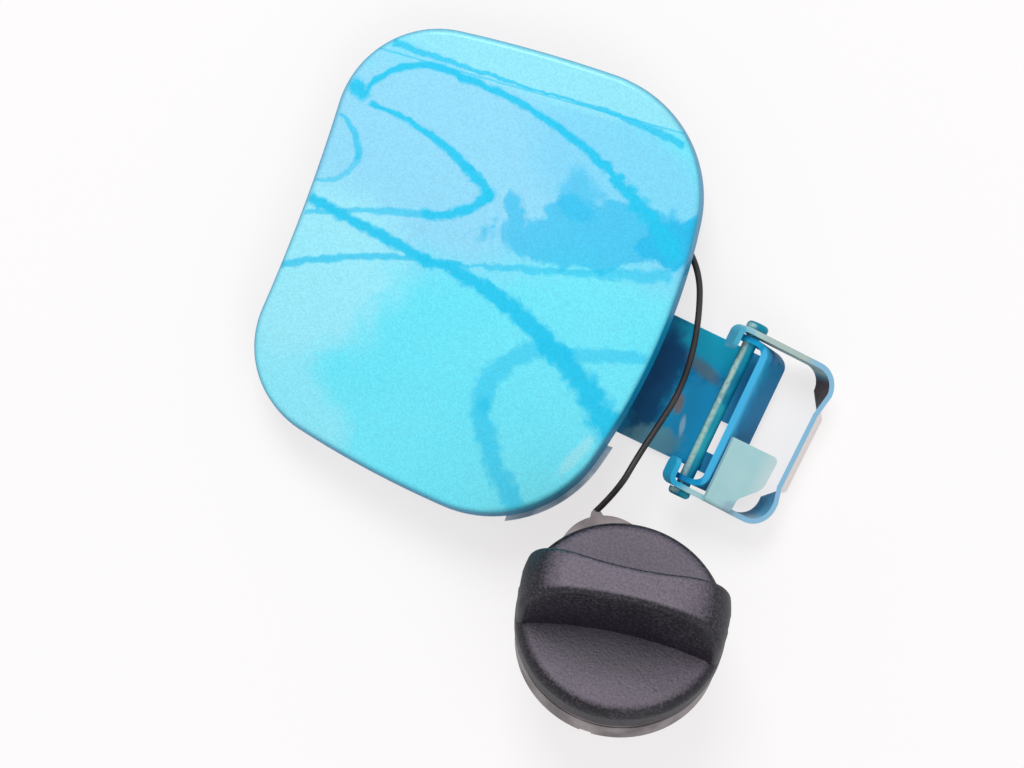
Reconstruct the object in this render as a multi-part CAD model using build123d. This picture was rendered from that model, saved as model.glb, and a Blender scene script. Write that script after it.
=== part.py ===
"""Fuel filler flap with its stamped hinge arm, hinge bracket and tethered screw cap.

Frame: millimetres, +Z up.  The flap lies outer face up on a flat surface at z = 0.  The hinge
pin runs along Y, the bracket points to +X and the flap panel lies to -X.  The origin is the
middle of the underside of the whole part.
"""
from build123d import *
import math
import os

os.makedirs("parts", exist_ok=True)

# --- Layout -------------------------------------------------------------------------------
PIN_AT = (64.1, 13.4)             # middle of the hinge pin, in plan
PIN_HEIGHT = 17.8                 # pin axis above the surface
FLAP_FROM_PIN = (-94.4, 8.0)      # middle of the flap panel from the pin
FLAP_HEIGHT = 22.0                # middle of the rim plane above the surface
FLAP_TILT = 6.0                   # the hinge side lies higher by this many degrees
FLAP_TURN = 6.0                   # panel edges against the pin, in plan
BRACKET_FALL = 18.0               # the bracket's legs slope down from the pin
CAP_FROM_PIN = (5.4, -96.0)       # middle of the plug's lower end from the pin
CAP_LEAN = 30.2                   # the tether holds the cap tipped back by this much
CAP_HEADING = 21.2
CAP_TURN = -8.5                   # grip bar against the heading

# --- Flap panel ---------------------------------------------------------------------------
FLAP_TOP_LEFT = (-69.7, 71.8)     # sharp corners of the outline, before rounding
FLAP_TOP_RIGHT = (57.3, 77.7)
FLAP_LOW_RIGHT = (47.3, -81.4)
FLAP_LOW_LEFT = (-71.0, -64.8)
ROUND_TOP_LEFT = 36.5
ROUND_TOP_RIGHT = 45.0
ROUND_LOW_RIGHT = 44.0
ROUND_LOW_LEFT = 34.0
BOW_TOP = 4.0                     # each side is an arc that bows out by this much
BOW_RIGHT = 14.9
BOW_LOW = 5.1
BOW_LEFT = -3.8
SKIN_T = 0.9
SKIN_EDGE_R = 2.4
RIM_DEPTH = 9.0
RIM_DRAFT = 9.0
HEM_WIDTH = 7.0                   # the rim's lower edge is folded inwards by this much
CROWN = 4.5                       # the middle stands this much above the rim plane
CROWN_SPAN_X = 69.0
CROWN_SPAN_Y = 81.0
SWAY = 2.0                        # soft S of the skin from low edge to top edge

# --- Inner panel --------------------------------------------------------------------------
PANEL_T = 0.8
PANEL_GAP = 0.4                   # panel edge inside the rim's wall
TRAY_INSET = 13.0                 # pressed tray inside the flap outline
TRAY_LEVEL = 7.6                  # back of the tray below the rim plane
TRAY_DRAFT = 12.0
WINDOW_R = 10.0                   # lightening holes in the tray
WINDOWS = ((-20.0, 46.0), (12.0, 46.0), (-20.0, -44.0), (8.0, -47.0), (-22.0, 2.0))

# --- Hinge arm ----------------------------------------------------------------------------
PIN_D = 5.0
PIN_PLAY = 0.05                   # radial play of the pin in the arm's ears
ARM_T = 2.0
ARM_W = 45.8
ARM_SHIFT = 1.1                   # the arm's plate lies this far off the pin's middle
PAD_W = 58.0
PAD_END = -92.0
PAD_START = -55.0
RAMP_FOOT = -33.0
PLATE_END = 17.0                  # where the plate turns up into the end wall
ARM_BEND_R = 4.0
WALL_TOP_X = 5.8
EAR_RISE = 4.0                    # top of the ears above the pin axis
EAR_REACH = 4.7                   # ears beyond the pin, towards the flap
EAR_DROP = 4.0
EAR_Y = 26.2                      # middle of each ear from the pin's middle
EAR_BEND_R = 4.0
EAR_ROUND_R = 3.9
SLOT_X = 4.8                      # window in the plate, under the pin
SLOT_Y = -8.5
SLOT_LENGTH = 12.0
SLOT_W = 8.0
SLOT_ROUND_R = 1.5

# --- Hinge bracket ------------------------------------------------------------------------
STRAP_T = 1.9
STRAP_W = 11.0
EAR_GAP = 0.85                    # between the arm's ears and the bracket's legs
BASE_REACH = 33.2                 # pin axis to the middle of the base strap
STRAP_CORNER_R = 8.0
LOBE_REACH = 7.0                  # stop lobes beyond the pin, towards the flap
LOBE_LENGTH = 8.3
LOBE_H = 7.5                      # the lobes take only this much of the strap's width
LEG_FLARE = 1.3                   # the leg at -Y runs outwards by this much at its far end
BASE_SKEW = 1.2                   # and the base comes nearer to the pin at that end
LOBE_BEND_R = 2.5
LOBE_ROUND_R = 3.0
LEAN_TOP = -1.5                   # the base leans: its upper edge comes in,
LEAN_LOW = 6.0                    # its lower edge goes out,
LEAN_START = 21.0                 # between these places along Y
LEAN_FULL = 13.0
LEAN_HOLD = -15.0
LEAN_END = -20.5
TAB_LEFT = 6.4
TAB_RIGHT = 25.2
TAB_FOOT = 17.0
TAB_END = -6.3
TAB_CURVE = (24.6, -18.2)         # the tab's free side curves in here,
TAB_NECK = (17.6, -24.8)          # towards its narrower root
TAB_ROUND_R = 2.0
PIN_HEAD_D = 7.8
PIN_HEAD_H = 2.4

# --- Hem sealer, around the corner next to the cap ------------------------------------------
SEALER_T = 1.2
SEALER_LIP = 1.4                  # beyond the flap's rim
SEALER_IN = 3.0                   # and under its hem
SEALER_X = 36.0                   # ends of the stretch that still has it
SEALER_Y = -42.0

# --- Latch striker and rubber stops ---------------------------------------------------------
STRIKER_X = -52.0
STRIKER_Y = -6.0
STRIKER_W = 18.0
STRIKER_T = 2.0
STRIKER_FOOT = 13.0
STRIKER_DEPTH = 16.5              # tip of the blade below the rim plane, just off the surface
STRIKER_SLOT_W = 9.0
STRIKER_SLOT_H = 4.0
STRIKER_ROUND_R = 3.0
STOPS = ((-44.0, 50.0), (-42.0, -48.0))
STOP_D = 9.0
STOP_H = 5.5

# --- Tether -----------------------------------------------------------------------------------
TETHER_D = 2.2
CORD_SEAT = 0.3                   # the tether is moulded into both end pieces by this much
ANCHOR_X = 46.0                   # on the inner panel
ANCHOR_Y = 37.0
ANCHOR_D = 11.0
ANCHOR_T = 2.6
ANCHOR_STEM_D = 5.0
ANCHOR_BARB = 1.2
ANCHOR_BARB_H = 2.5
COLLAR_W = 2.2                    # radial width of the collar's ring
LOBE_CENTRE_R = 25.5              # the collar swells to a lobe where the tether joins it
LOBE_R = 16.0
LOBE_ANGLE = 103.0
TONGUE_R = 1.9
TONGUE_OUT = 9.0                  # tip of the tongue beyond the head
TONGUE_ROOT_R = 4.0
TONGUE_ROOT_IN = 8.0              # middle of its root behind the tip

# Route of the tether from its anchor to the collar's tongue; the ends are worked out below.
TETHER_ROUTE = [
    (28.1, 61.4, 17.6),
    (38.3, 52.9, 17.2),
    (43.9, 40.9, 17.0),
    (48.0, 26.9, 17.0),
    (49.5, 12.4, 17.3),
    (47.7, -0.6, 18.5),
    (45.8, -13.1, 20.6),
    (44.5, -26.3, 23.5),
]

# --- Cap: heights from the plug's lower end -------------------------------------------------------
PLUG_LENGTH = 24.0
FLANGE_T = 2.5
SKIRT_DROP = 2.0                  # skirt below the flange's underside
SKIRT_H = 9.0
GROOVE_H = 3.4
BAND_H = 4.8
SHOULDER_H = 5.2
BAR_H = 25.5                      # grip bar above the finger floor

# --- Cap: radii and walls ---------------------------------------------------------------------------
PLUG_R = 20.0
PLUG_WALL = 2.3
PLUG_CHAMFER = 0.8
GASKET_W = 7.0
GASKET_PLAY = 1.3                 # gasket inside the lip
LIP_HOLD = 1.5                    # skirt's lip under the flange
LIP_T = 1.6
LIP_RIM_H = 2.4                   # height of the skirt's seat on the hub
FLANGE_PLAY = 1.7                 # plug's flange inside the hub
HUB_T = 2.0
HUB_STEP = 3.5                    # grip's hub inside the head
SKIRT_STEP = 0.6                  # skirt inside the head
SKIRT_T = 2.1
SKIRT_CHAMFER = 0.5
THREAD_PITCH = 7.5
THREAD_TURNS = 1.5
THREAD_Z = 4.0                    # start of the thread above the plug's lower end
THREAD_H = 1.6
THREAD_FOOT = 3.8                 # width of the thread at the plug
THREAD_CREST = 1.4
THREAD_SEAT = 0.3                 # the thread's foot lies this deep in the plug's wall
WALL = 2.2
SHOULDER_W = 4.2                  # rounded edge of the finger floor

# --- Cap: grip bar, whose outline is an arch -------------------------------------------------------
BAR_SIDE_IN = 0.3                 # upright ends of the bar inside the head
BAR_ROUND_R = 17.0                # rounding from the ends to the flat top
BAR_HALF = 7.1                    # half the bar's width at the band, in its middle
BAR_FLARE = 4.8                   # each side comes out by this much at the bar's ends
BAR_BEYOND = 1.0                  # the sides' arcs end this far outside the head
BAR_DRAFT = 2.0
BAR_EDGE_R = 2.4
WINDOW_IN = 6.0                   # openings in the bar's ends, for the moulding core
WINDOW_W = 6.0
WINDOW_H = 10.0
WINDOW_RISE = 2.0
FIT = 0.3                         # clearance between pieces that turn or slide
PIVOT_FIT = 0.08                  # radial play of the grip on the plug's post
NOTCH_W = 4.0
NOTCH_H = 1.4
NOTCH_DEPTH = 1.0
NOTCH_ANGLE = -97.0

# --- Cap: torque ratchet between grip and plug ------------------------------------------------------
POST_R = 6.0
POST_TOP = 13.0                   # post above the flange
SOCKET_T = 2.0
SOCKET_RISE = 3.0                 # socket's mouth above the hub's open end
TOOTH_COUNT = 24
TOOTH_H = 1.4
TOOTH_RISE = 1.5                  # degrees taken by the steep side of each tooth
TOOTH_RING_T = 2.2
PAWL_COUNT = 3
PAWL_T = 1.1
PAWL_SWEEP = 59.0                 # degrees along each flexing arm
PAWL_ROOT = 8.0                   # degrees along each root
PAWL_LAP = 0.1                    # root and hook reach into the rim and the arm
PAWL_TIP = 1.2
PAWL_HOOK = 7.0                   # degrees along each hook
RATCHET_RIM_T = 1.6
PAWL_ROOM = 1.1                   # between each curved arm and the rim

# --- Cap: seal and valves ------------------------------------------------------------------------------
GASKET_T = 3.2
SEAT_Z = 6.0                      # underside of the valve housing
HOUSING_T = 1.6
HOUSING_TOP = 21.0
SEAT_HOLE_R = 9.0
SEAL_T = 1.4
SEAL_R = 13.0
PLATE_R = 12.4
PLATE_T = 1.6
PLATE_CHAMFER = 0.4
VALVE_GAP = 0.05                  # valve faces against what they press on
PRESSURE_COIL_R = 9.4
PRESSURE_WIRE = 1.2
PRESSURE_TURNS = 4.0
STEM_R = 1.7
VACUUM_DISC_R = 6.4
VACUUM_DISC_T = 1.4
VACUUM_COIL_R = 3.3
VACUUM_WIRE = 0.7
VACUUM_TURNS = 4.0
VACUUM_SPRING_H = 5.0
STEM_CAP_R = 4.4
STEM_CAP_T = 1.2
GUARD_Z = 0.6
GUARD_T = 2.0
GUARD_SLOTS = 6
GUARD_SLOT_W = 3.0

# --- Sizes that follow ---------------------------------------------------------------------------------
FLANGE_Z = PLUG_LENGTH
FLANGE_TOP = FLANGE_Z + FLANGE_T
SKIRT_Z = FLANGE_Z - SKIRT_DROP
GROOVE_Z = SKIRT_Z + SKIRT_H
BAND_Z = GROOVE_Z + GROOVE_H
BAND_TOP = BAND_Z + BAND_H
FLOOR_Z = BAND_TOP + SHOULDER_H
BAR_Z = FLOOR_Z + BAR_H
HUB_Z = FLANGE_TOP + FIT
GASKET_R = PLUG_R + GASKET_W
LIP_R = GASKET_R + GASKET_PLAY
FLANGE_R = LIP_R + LIP_HOLD
HUB_R = FLANGE_R + FLANGE_PLAY
HEAD_R = HUB_R + HUB_STEP
SKIRT_R = HEAD_R - SKIRT_STEP
FLOOR_R = HEAD_R - SHOULDER_W
TONGUE_REACH = HEAD_R + TONGUE_OUT
TOOTH_TIP_R = HUB_R - HUB_T - RATCHET_RIM_T - PAWL_ROOM - PAWL_T - FIT
TOOTH_ROOT_R = TOOTH_TIP_R - TOOTH_H
PLUG_BORE = PLUG_R - PLUG_WALL
PANEL_DEPTH = RIM_DEPTH - SKIN_T - PANEL_T
LEG_Y = EAR_Y + ARM_T / 2 + EAR_GAP + STRAP_T / 2
FAR = 200.0                       # longer than any piece, for cutting


# --- Places ---------------------------------------------------------------------------------------------
def tip(angle):
    """Turn about Y that lifts the +X side."""
    return Location((0, 0, 0), (0, -angle, 0))


def turned(angle):
    """Turn about Z."""
    return Location((0, 0, 0), (0, 0, angle))


PIN_PLACE = Location((PIN_AT[0], PIN_AT[1], PIN_HEIGHT))
ARM_PLACE = Location((PIN_AT[0], PIN_AT[1], 0))
FLAP_X = PIN_AT[0] + FLAP_FROM_PIN[0]
FLAP_Y = PIN_AT[1] + FLAP_FROM_PIN[1]
FLAP_PLACE = Location((FLAP_X, FLAP_Y, FLAP_HEIGHT)) * tip(FLAP_TILT) * turned(FLAP_TURN)
BRACKET_PLACE = PIN_PLACE * tip(-BRACKET_FALL)
CAP_X = PIN_AT[0] + CAP_FROM_PIN[0]
CAP_Y = PIN_AT[1] + CAP_FROM_PIN[1]
CAP_LIFT = PLUG_R * math.sin(math.radians(CAP_LEAN))
COLLAR_PLACE = (
    Location((CAP_X, CAP_Y, CAP_LIFT))
    * turned(CAP_HEADING)
    * Location((0, 0, 0), (-CAP_LEAN, 0, 0))
)
CAP_PLACE = COLLAR_PLACE * turned(CAP_TURN)


# --- Shared shapes ------------------------------------------------------------------------------------------
def disc(radius, z, height):
    """Plain disc about Z."""
    return Pos(0, 0, z) * extrude(Circle(radius), height)


def ring(outer, inner, z, height):
    """Plain ring about Z."""
    return Pos(0, 0, z) * extrude(Circle(outer) - Circle(inner), height)


def spun(segments):
    """Solid of revolution about Z from a closed XZ outline."""
    return revolve(Plane.XZ * make_face(segments), Axis.Z)


def polygon(*points):
    """Flat face with straight sides."""
    return make_face(Polyline(*points, close=True))


def box_between(low, high):
    """Upright box from its low corner to its high corner."""
    size = [b - a for a, b in zip(low, high)]
    return Pos(*low) * Box(*size, align=(Align.MIN, Align.MIN, Align.MIN))


def coil(radius, wire, z, height, turns):
    """Helical spring between two heights."""
    path = Pos(0, 0, z + wire / 2) * Helix((height - wire) / turns, height - wire, radius)
    start = Plane(origin=path @ 0, z_dir=path % 0)
    return sweep(start * Circle(wire / 2), path=path)


def polar(radius, angle):
    """Point at a radius and an angle in degrees."""
    return (radius * math.cos(math.radians(angle)), radius * math.sin(math.radians(angle)))


# --- Flap panel --------------------------------------------------------------------------------------
def bowed_side(start, end, bow):
    """Side of the outline, drawn counter-clockwise, as an arc that bows outwards."""
    a = Vector(*start)
    b = Vector(*end)
    along = (b - a).normalized()
    outward = Vector(along.Y, -along.X)
    return ThreePointArc(a, (a + b) * 0.5 + outward * bow, b)


def moved_in(edge, inset):
    """Arc of a counter-clockwise outline, moved towards the inside of the outline."""
    points = []
    for share in (0, 0.5, 1):
        along = edge % share
        points.append(edge @ share + Vector(-along.Y, along.X) * inset)
    return ThreePointArc(*points)


def flap_outline(inset=0.0):
    """Rounded outline of the flap, drawn counter-clockwise from its low left corner."""
    corners = [FLAP_LOW_LEFT, FLAP_LOW_RIGHT, FLAP_TOP_RIGHT, FLAP_TOP_LEFT]
    rounds = [ROUND_LOW_LEFT, ROUND_LOW_RIGHT, ROUND_TOP_RIGHT, ROUND_TOP_LEFT]
    bows = [BOW_LOW, BOW_RIGHT, BOW_TOP, BOW_LEFT]
    sides = []
    for k in range(4):
        sides.append(bowed_side(corners[k], corners[(k + 1) % 4], bows[k]))
    face = make_face(sides)
    for corner, radius in zip(corners, rounds):
        vertex = face.vertices().sort_by_distance((*corner, 0))[0]
        face = fillet(vertex, radius)
    return make_face([moved_in(edge, inset) for edge in face.edges()])


def flap_column(inset=0.0):
    """Prism over the flap's outline, whose wall leans in towards the skin by the rim's draft."""
    return Pos(0, 0, -RIM_DEPTH) * extrude(flap_outline(inset), FAR / 5, taper=RIM_DRAFT)


def crown_height(x, y):
    """Height of the outer skin above the rim plane at a point of the panel."""
    u = x / CROWN_SPAN_X
    v = y / CROWN_SPAN_Y
    return CROWN * (1 - 0.5 * u * u - 0.5 * v * v) + SWAY * (v ** 3 - v)


def crown_layer(top, bottom):
    """Crowned layer between two depths below the outer skin."""
    steps = [k / 4 for k in range(-5, 6)]
    rows = []
    for v in steps:
        row = []
        for u in steps:
            x = u * CROWN_SPAN_X
            y = v * CROWN_SPAN_Y
            row.append(Vector(x, y, crown_height(x, y) - top))
        rows.append(row)
    surface = Face.make_surface_from_array_of_points(rows, tol=0.005, min_deg=3, max_deg=5)
    return extrude(surface, bottom - top, dir=(0, 0, -1))


def outer_skin():
    """Crowned outer skin with a turned-down rim and a hem folded inwards."""
    block = flap_column() & crown_layer(0, RIM_DEPTH)
    block = fillet(block.faces().sort_by(Axis.Z)[-1].edges(), SKIN_EDGE_R)
    hollow = flap_column(SKIN_T) & crown_layer(SKIN_T, RIM_DEPTH - SKIN_T)
    mouth = flap_column(HEM_WIDTH) & crown_layer(RIM_DEPTH / 2, RIM_DEPTH * 2)
    return block - hollow - mouth


def tray_column(inset, level):
    """Drafted prism of the pressed tray, from above the panel's edge band down to a level."""
    draft = (CROWN + level) * math.tan(math.radians(TRAY_DRAFT))
    floor = Pos(0, 0, -level) * flap_outline(TRAY_INSET + inset + draft)
    mouth = Pos(0, 0, CROWN) * flap_outline(TRAY_INSET + inset)
    return loft([floor, mouth], ruled=True)


def inner_panel():
    """Pressed inner panel: a crowned edge band on the hem and a flat-backed tray."""
    band = flap_column(SKIN_T + PANEL_GAP) & crown_layer(PANEL_DEPTH, PANEL_DEPTH + PANEL_T)
    above = crown_layer(-FAR / 8, PANEL_DEPTH + PANEL_T / 2)
    tray = tray_column(0, TRAY_LEVEL) - above
    scoop = tray_column(PANEL_T, TRAY_LEVEL - PANEL_T)
    panel = band + tray - scoop
    for x, y in WINDOWS:
        panel -= Pos(x, y, -FAR / 4) * extrude(Circle(WINDOW_R), FAR / 2)
    return panel - Pos(ANCHOR_X, ANCHOR_Y, -FAR / 4) * extrude(Circle(ANCHOR_STEM_D / 2), FAR / 2)


def hem_sealer():
    """Squeezed-out seam sealer under the hem, around one corner of the flap."""
    outline = flap_outline(-SEALER_LIP) - flap_outline(SEALER_IN)
    column = Pos(0, 0, -FAR / 4) * extrude(outline, FAR / 2)
    stretch = box_between((SEALER_X, -FAR, -FAR), (FAR, SEALER_Y, FAR))
    return column & crown_layer(RIM_DEPTH, RIM_DEPTH + SEALER_T) & stretch


# --- Hinge arm ----------------------------------------------------------------------------------------
def tray_back(x):
    """Height of the tray's flat back above the surface, at a distance x from the pin."""
    slope = math.radians(FLAP_TILT)
    run = x - FLAP_FROM_PIN[0] - TRAY_LEVEL * math.sin(slope)
    return FLAP_HEIGHT - TRAY_LEVEL * math.cos(slope) + run * math.tan(slope)


def sheet_side(points, thickness, radius):
    """Side view of a bent sheet around its middle line."""
    return trace(FilletPolyline(*points, radius=radius), thickness)


def arm_sheet():
    """Pad, ramp, plate and the foot of the end wall, as one bent sheet."""
    half = ARM_T / 2
    under = half / math.cos(math.radians(FLAP_TILT))
    wall_top = (WALL_TOP_X, PIN_HEIGHT + EAR_RISE)
    foot = (PLATE_END, half)
    wall_part = tuple(f + (t - f) * 0.45 for f, t in zip(foot, wall_top))
    path = [
        (PAD_END, tray_back(PAD_END) - under),
        (PAD_START, tray_back(PAD_START) - under),
        (RAMP_FOOT, half),
        foot,
        wall_part,
    ]
    side = Plane.XZ * sheet_side(path, ARM_T, ARM_BEND_R)
    sheet = Pos(0, ARM_SHIFT, 0) * extrude(side, PAD_W / 2, both=True)
    return sheet & arm_plan()


def arm_plan():
    """Prism of the arm's plan: wide under the flap, narrower between the ears."""
    wide = PAD_W / 2
    slim = ARM_W / 2
    taper_start = PAD_START - ARM_BEND_R
    taper_end = RAMP_FOOT + ARM_BEND_R
    plan = polygon(
        (PAD_END, -wide),
        (taper_start, -wide),
        (taper_end, -slim),
        (PLATE_END + ARM_T * 2, -slim),
        (PLATE_END + ARM_T * 2, slim),
        (taper_end, slim),
        (taper_start, wide),
        (PAD_END, wide),
    )
    plan = fillet(plan.vertices().group_by(Axis.X)[0], ARM_BEND_R * 2)
    return Pos(0, ARM_SHIFT, -FAR / 4) * extrude(plan, FAR / 2)


def arm_channel():
    """Leaning end wall with an ear at each end: a U bent from one sheet."""
    top = Vector(WALL_TOP_X, 0, PIN_HEIGHT + EAR_RISE)
    foot = Vector(PLATE_END, 0, ARM_T / 2)
    up_wall = (top - foot).normalized()
    reach = WALL_TOP_X + EAR_REACH + PIN_HEIGHT
    section_plane = Plane(origin=foot, x_dir=(0, 1, 0), z_dir=up_wall)
    section = section_plane * trace(
        FilletPolyline(
            (-EAR_Y, reach), (-EAR_Y, 0), (EAR_Y, 0), (EAR_Y, reach), radius=EAR_BEND_R
        ),
        ARM_T,
    )
    tube = extrude(section, FAR / 4)
    return tube & ear_prism(up_wall)


def ear_prism(up_wall):
    """Prism along the pin that gives the ears and the wall their side outline."""
    z_top = PIN_HEIGHT + EAR_RISE
    out = ARM_T * 2
    outline = polygon(
        (-EAR_REACH, z_top),
        (WALL_TOP_X + out, z_top),
        (PLATE_END + out, ARM_T * 2),
        (PLATE_END - ARM_T, ARM_T * 2.2),
        (WALL_TOP_X + 2.5, ARM_T * 3.4),
        (-EAR_REACH, PIN_HEIGHT - EAR_DROP),
    )
    left = outline.vertices().group_by(Axis.X)[0]
    outline = fillet(left, EAR_ROUND_R)
    return extrude(Plane.XZ * outline, FAR, both=True)


def hinge_arm():
    """Stamped arm with the pin holes in its ears and a window in its plate."""
    arm = arm_sheet() + arm_channel()
    arm -= Plane.XZ * Pos(0, PIN_HEIGHT) * extrude(
        Circle(PIN_D / 2 + PIN_PLAY), FAR, both=True
    )
    slot = extrude(Pos(SLOT_X, SLOT_Y) * RectangleRounded(SLOT_W, SLOT_LENGTH, SLOT_ROUND_R), ARM_T)
    return arm - slot


# --- Hinge bracket and pin ------------------------------------------------------------------------------
# The bracket's own frame: X along the legs away from the pin, Y along the pin, Z across the strap.
def bracket_strap():
    """Bent strap: two legs with inward stop lobes, joined by the base."""
    inner = LEG_Y - LOBE_LENGTH
    corners = [
        (-LOBE_REACH, inner),
        (-LOBE_REACH, LEG_Y),
        (BASE_REACH, LEG_Y),
        (BASE_REACH - BASE_SKEW, -LEG_Y - LEG_FLARE),
        (-LOBE_REACH, -LEG_Y),
        (-LOBE_REACH, -inner),
    ]
    radii = [LOBE_BEND_R, STRAP_CORNER_R, STRAP_CORNER_R, LOBE_BEND_R]
    edge = trace(FilletPolyline(*corners, radius=radii), STRAP_T)
    strap = extrude(edge, STRAP_W / 2, both=True)
    clear = STRAP_CORNER_R / 2
    gap = box_between(
        (BASE_REACH - clear, LEAN_END, -STRAP_W), (BASE_REACH + clear, LEAN_START, STRAP_W)
    )
    under_lobes = box_between(
        (-LOBE_REACH * 2, -FAR, -STRAP_W), (-LOBE_REACH / 2, FAR, STRAP_W / 2 - LOBE_H)
    )
    return strap - gap - under_lobes + leaning_base()


def base_section(y, lean):
    """Cross-section of the base strap at a place along Y; lean runs from 0 to 1."""
    half_t = STRAP_T / 2
    half_w = STRAP_W / 2
    reach = BASE_REACH - BASE_SKEW * (LEG_Y - y) / (2 * LEG_Y + LEG_FLARE)
    top = reach + LEAN_TOP * lean
    low = reach + LEAN_LOW * lean
    return Polyline(
        (low - half_t, y, -half_w),
        (low + half_t, y, -half_w),
        (top + half_t, y, half_w),
        (top - half_t, y, half_w),
        close=True,
    )


def leaning_base():
    """Middle of the base, whose strap leans inwards at its upper edge."""
    start, full, hold, end = (
        make_face(base_section(y, lean).edges())
        for y, lean in ((LEAN_START, 0), (LEAN_FULL, 1), (LEAN_HOLD, 1), (LEAN_END, 0))
    )
    shift = BASE_SKEW * (LEAN_HOLD - LEAN_FULL) / (2 * LEG_Y + LEG_FLARE)
    run = Vector(shift, LEAN_HOLD - LEAN_FULL)
    middle = extrude(full, run.length, dir=run)
    return loft([start, full], ruled=True) + middle + loft([hold, end], ruled=True)


def leg_side(x):
    """Outer side of the leg at -Y, at a distance x along it."""
    along = (x + LOBE_REACH) / (BASE_REACH - BASE_SKEW + LOBE_REACH)
    return -LEG_Y - LEG_FLARE * along - STRAP_T / 2


def bracket_tab():
    """Flat tab bent inwards from the upper edge of one leg."""
    outline = polygon(
        (TAB_LEFT, leg_side(TAB_LEFT)),
        (TAB_LEFT, TAB_END),
        (TAB_RIGHT, TAB_END),
        TAB_CURVE,
        TAB_NECK,
        (TAB_FOOT, leg_side(TAB_FOOT)),
    )
    rounds = {(TAB_RIGHT, TAB_END): TAB_ROUND_R, TAB_CURVE: TAB_ROUND_R * 3, TAB_NECK: TAB_ROUND_R}
    for corner, radius in rounds.items():
        vertex = outline.vertices().sort_by_distance((*corner, 0))[0]
        outline = fillet(vertex, radius)
    plate = Pos(0, 0, STRAP_W / 2) * extrude(outline, STRAP_T)
    bend = plate.edges().group_by(Axis.Z)[-1].sort_by(Axis.Y)[0]
    return fillet(bend, STRAP_T * 0.9)


def hinge_bracket():
    """Strap bracket with its tab and the two holes that hold the pin."""
    strap = bracket_strap()
    ends = strap.edges().filter_by(Axis.X).filter_by(lambda e: e.center().X < -LOBE_REACH + 1)
    strap = fillet(ends, LOBE_ROUND_R)
    bracket = strap + bracket_tab()
    hole = Plane.XZ * extrude(Circle(PIN_D / 2), FAR, both=True)
    return bracket - hole


def hinge_pin():
    """Straight pin with a domed head outside each leg."""
    reach = -leg_side(PIN_HEAD_D / 2)
    shank = Plane.XZ * extrude(Circle(PIN_D / 2), reach, both=True)
    head = disc(PIN_HEAD_D / 2, reach, PIN_HEAD_H)
    head = fillet(head.edges().sort_by(Axis.Z)[-1], PIN_HEAD_H * 0.6)
    far_head = Rot(X=-90) * head
    near_head = Rot(X=90) * head
    return shank + far_head + near_head


# --- Latch striker and rubber stops ---------------------------------------------------------------------
def latch_striker():
    """Bent striker plate: foot on the tray's back and a slotted blade."""
    tip_z = -STRIKER_DEPTH
    foot = box_between(
        (STRIKER_X, STRIKER_Y - STRIKER_W / 2, -TRAY_LEVEL - STRIKER_T),
        (STRIKER_X + STRIKER_FOOT, STRIKER_Y + STRIKER_W / 2, -TRAY_LEVEL),
    )
    blade = box_between(
        (STRIKER_X, STRIKER_Y - STRIKER_W / 2, tip_z),
        (STRIKER_X + STRIKER_T, STRIKER_Y + STRIKER_W / 2, -TRAY_LEVEL),
    )
    corners = blade.edges().filter_by(Axis.X).group_by(Axis.Z)[0]
    blade = fillet(corners, STRIKER_ROUND_R)
    slot_z = tip_z + STRIKER_SLOT_H
    slot = box_between(
        (STRIKER_X - STRIKER_T, STRIKER_Y - STRIKER_SLOT_W / 2, slot_z - STRIKER_SLOT_H / 2),
        (STRIKER_X + 2 * STRIKER_T, STRIKER_Y + STRIKER_SLOT_W / 2, slot_z + STRIKER_SLOT_H / 2),
    )
    striker = foot + blade - slot
    bend = striker.edges().filter_by(Axis.Y).sort_by(lambda e: e.center().X - e.center().Z)
    return fillet(bend[0], STRIKER_T * 0.9)


def bump_stops():
    """Two rubber stops on the tray's back, as separate solids."""
    stops = []
    for x, y in STOPS:
        stop = disc(STOP_D / 2, -TRAY_LEVEL - STOP_H, STOP_H)
        stop = fillet(stop.edges().sort_by(Axis.Z)[0], STOP_D / 4)
        stops.append(Pos(x, y, 0) * stop)
    return Compound(children=stops)


# --- Tether ---------------------------------------------------------------------------------------------
def tether_anchor():
    """Push-in anchor: a disc on the tray's back with a barbed stem through it."""
    stem_r = ANCHOR_STEM_D / 2 - FIT / 2
    base = disc(ANCHOR_D / 2, -TRAY_LEVEL - ANCHOR_T, ANCHOR_T)
    base = fillet(base.edges().sort_by(Axis.Z)[0], ANCHOR_T / 3)
    barb_z = -TRAY_LEVEL + PANEL_T + FIT
    stem = disc(stem_r, -TRAY_LEVEL, PANEL_T + FIT)
    barb = Pos(0, 0, barb_z) * extrude(
        Circle(stem_r + ANCHOR_BARB), ANCHOR_BARB_H, taper=30
    )
    return Pos(ANCHOR_X, ANCHOR_Y, 0) * (base + stem + barb)


def tether_collar():
    """Collar in the cap's groove, swelling to a lobe with a tongue that carries the tether."""
    outer_r = HUB_R + FIT + COLLAR_W
    lobe = Pos(*polar(LOBE_CENTRE_R, LOBE_ANGLE)) * Circle(LOBE_R)
    tongue = Pos(*polar(TONGUE_REACH - TONGUE_R, LOBE_ANGLE)) * Circle(TONGUE_R)
    body = make_hull((Circle(outer_r) + lobe).edges())
    root = Pos(*polar(TONGUE_REACH - TONGUE_ROOT_IN, LOBE_ANGLE)) * Circle(TONGUE_ROOT_R)
    body += make_hull((tongue + root).edges())
    outline = body - Circle(HUB_R + FIT)
    return Pos(0, 0, GROOVE_Z + FIT) * extrude(outline, GROOVE_H - 2 * FIT)


def tongue_tip():
    """Point where the tether leaves the collar, in the part's frame."""
    x, y = polar(TONGUE_REACH - CORD_SEAT, LOBE_ANGLE)
    return (COLLAR_PLACE * Pos(x, y, GROOVE_Z + GROOVE_H / 2)).position


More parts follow.
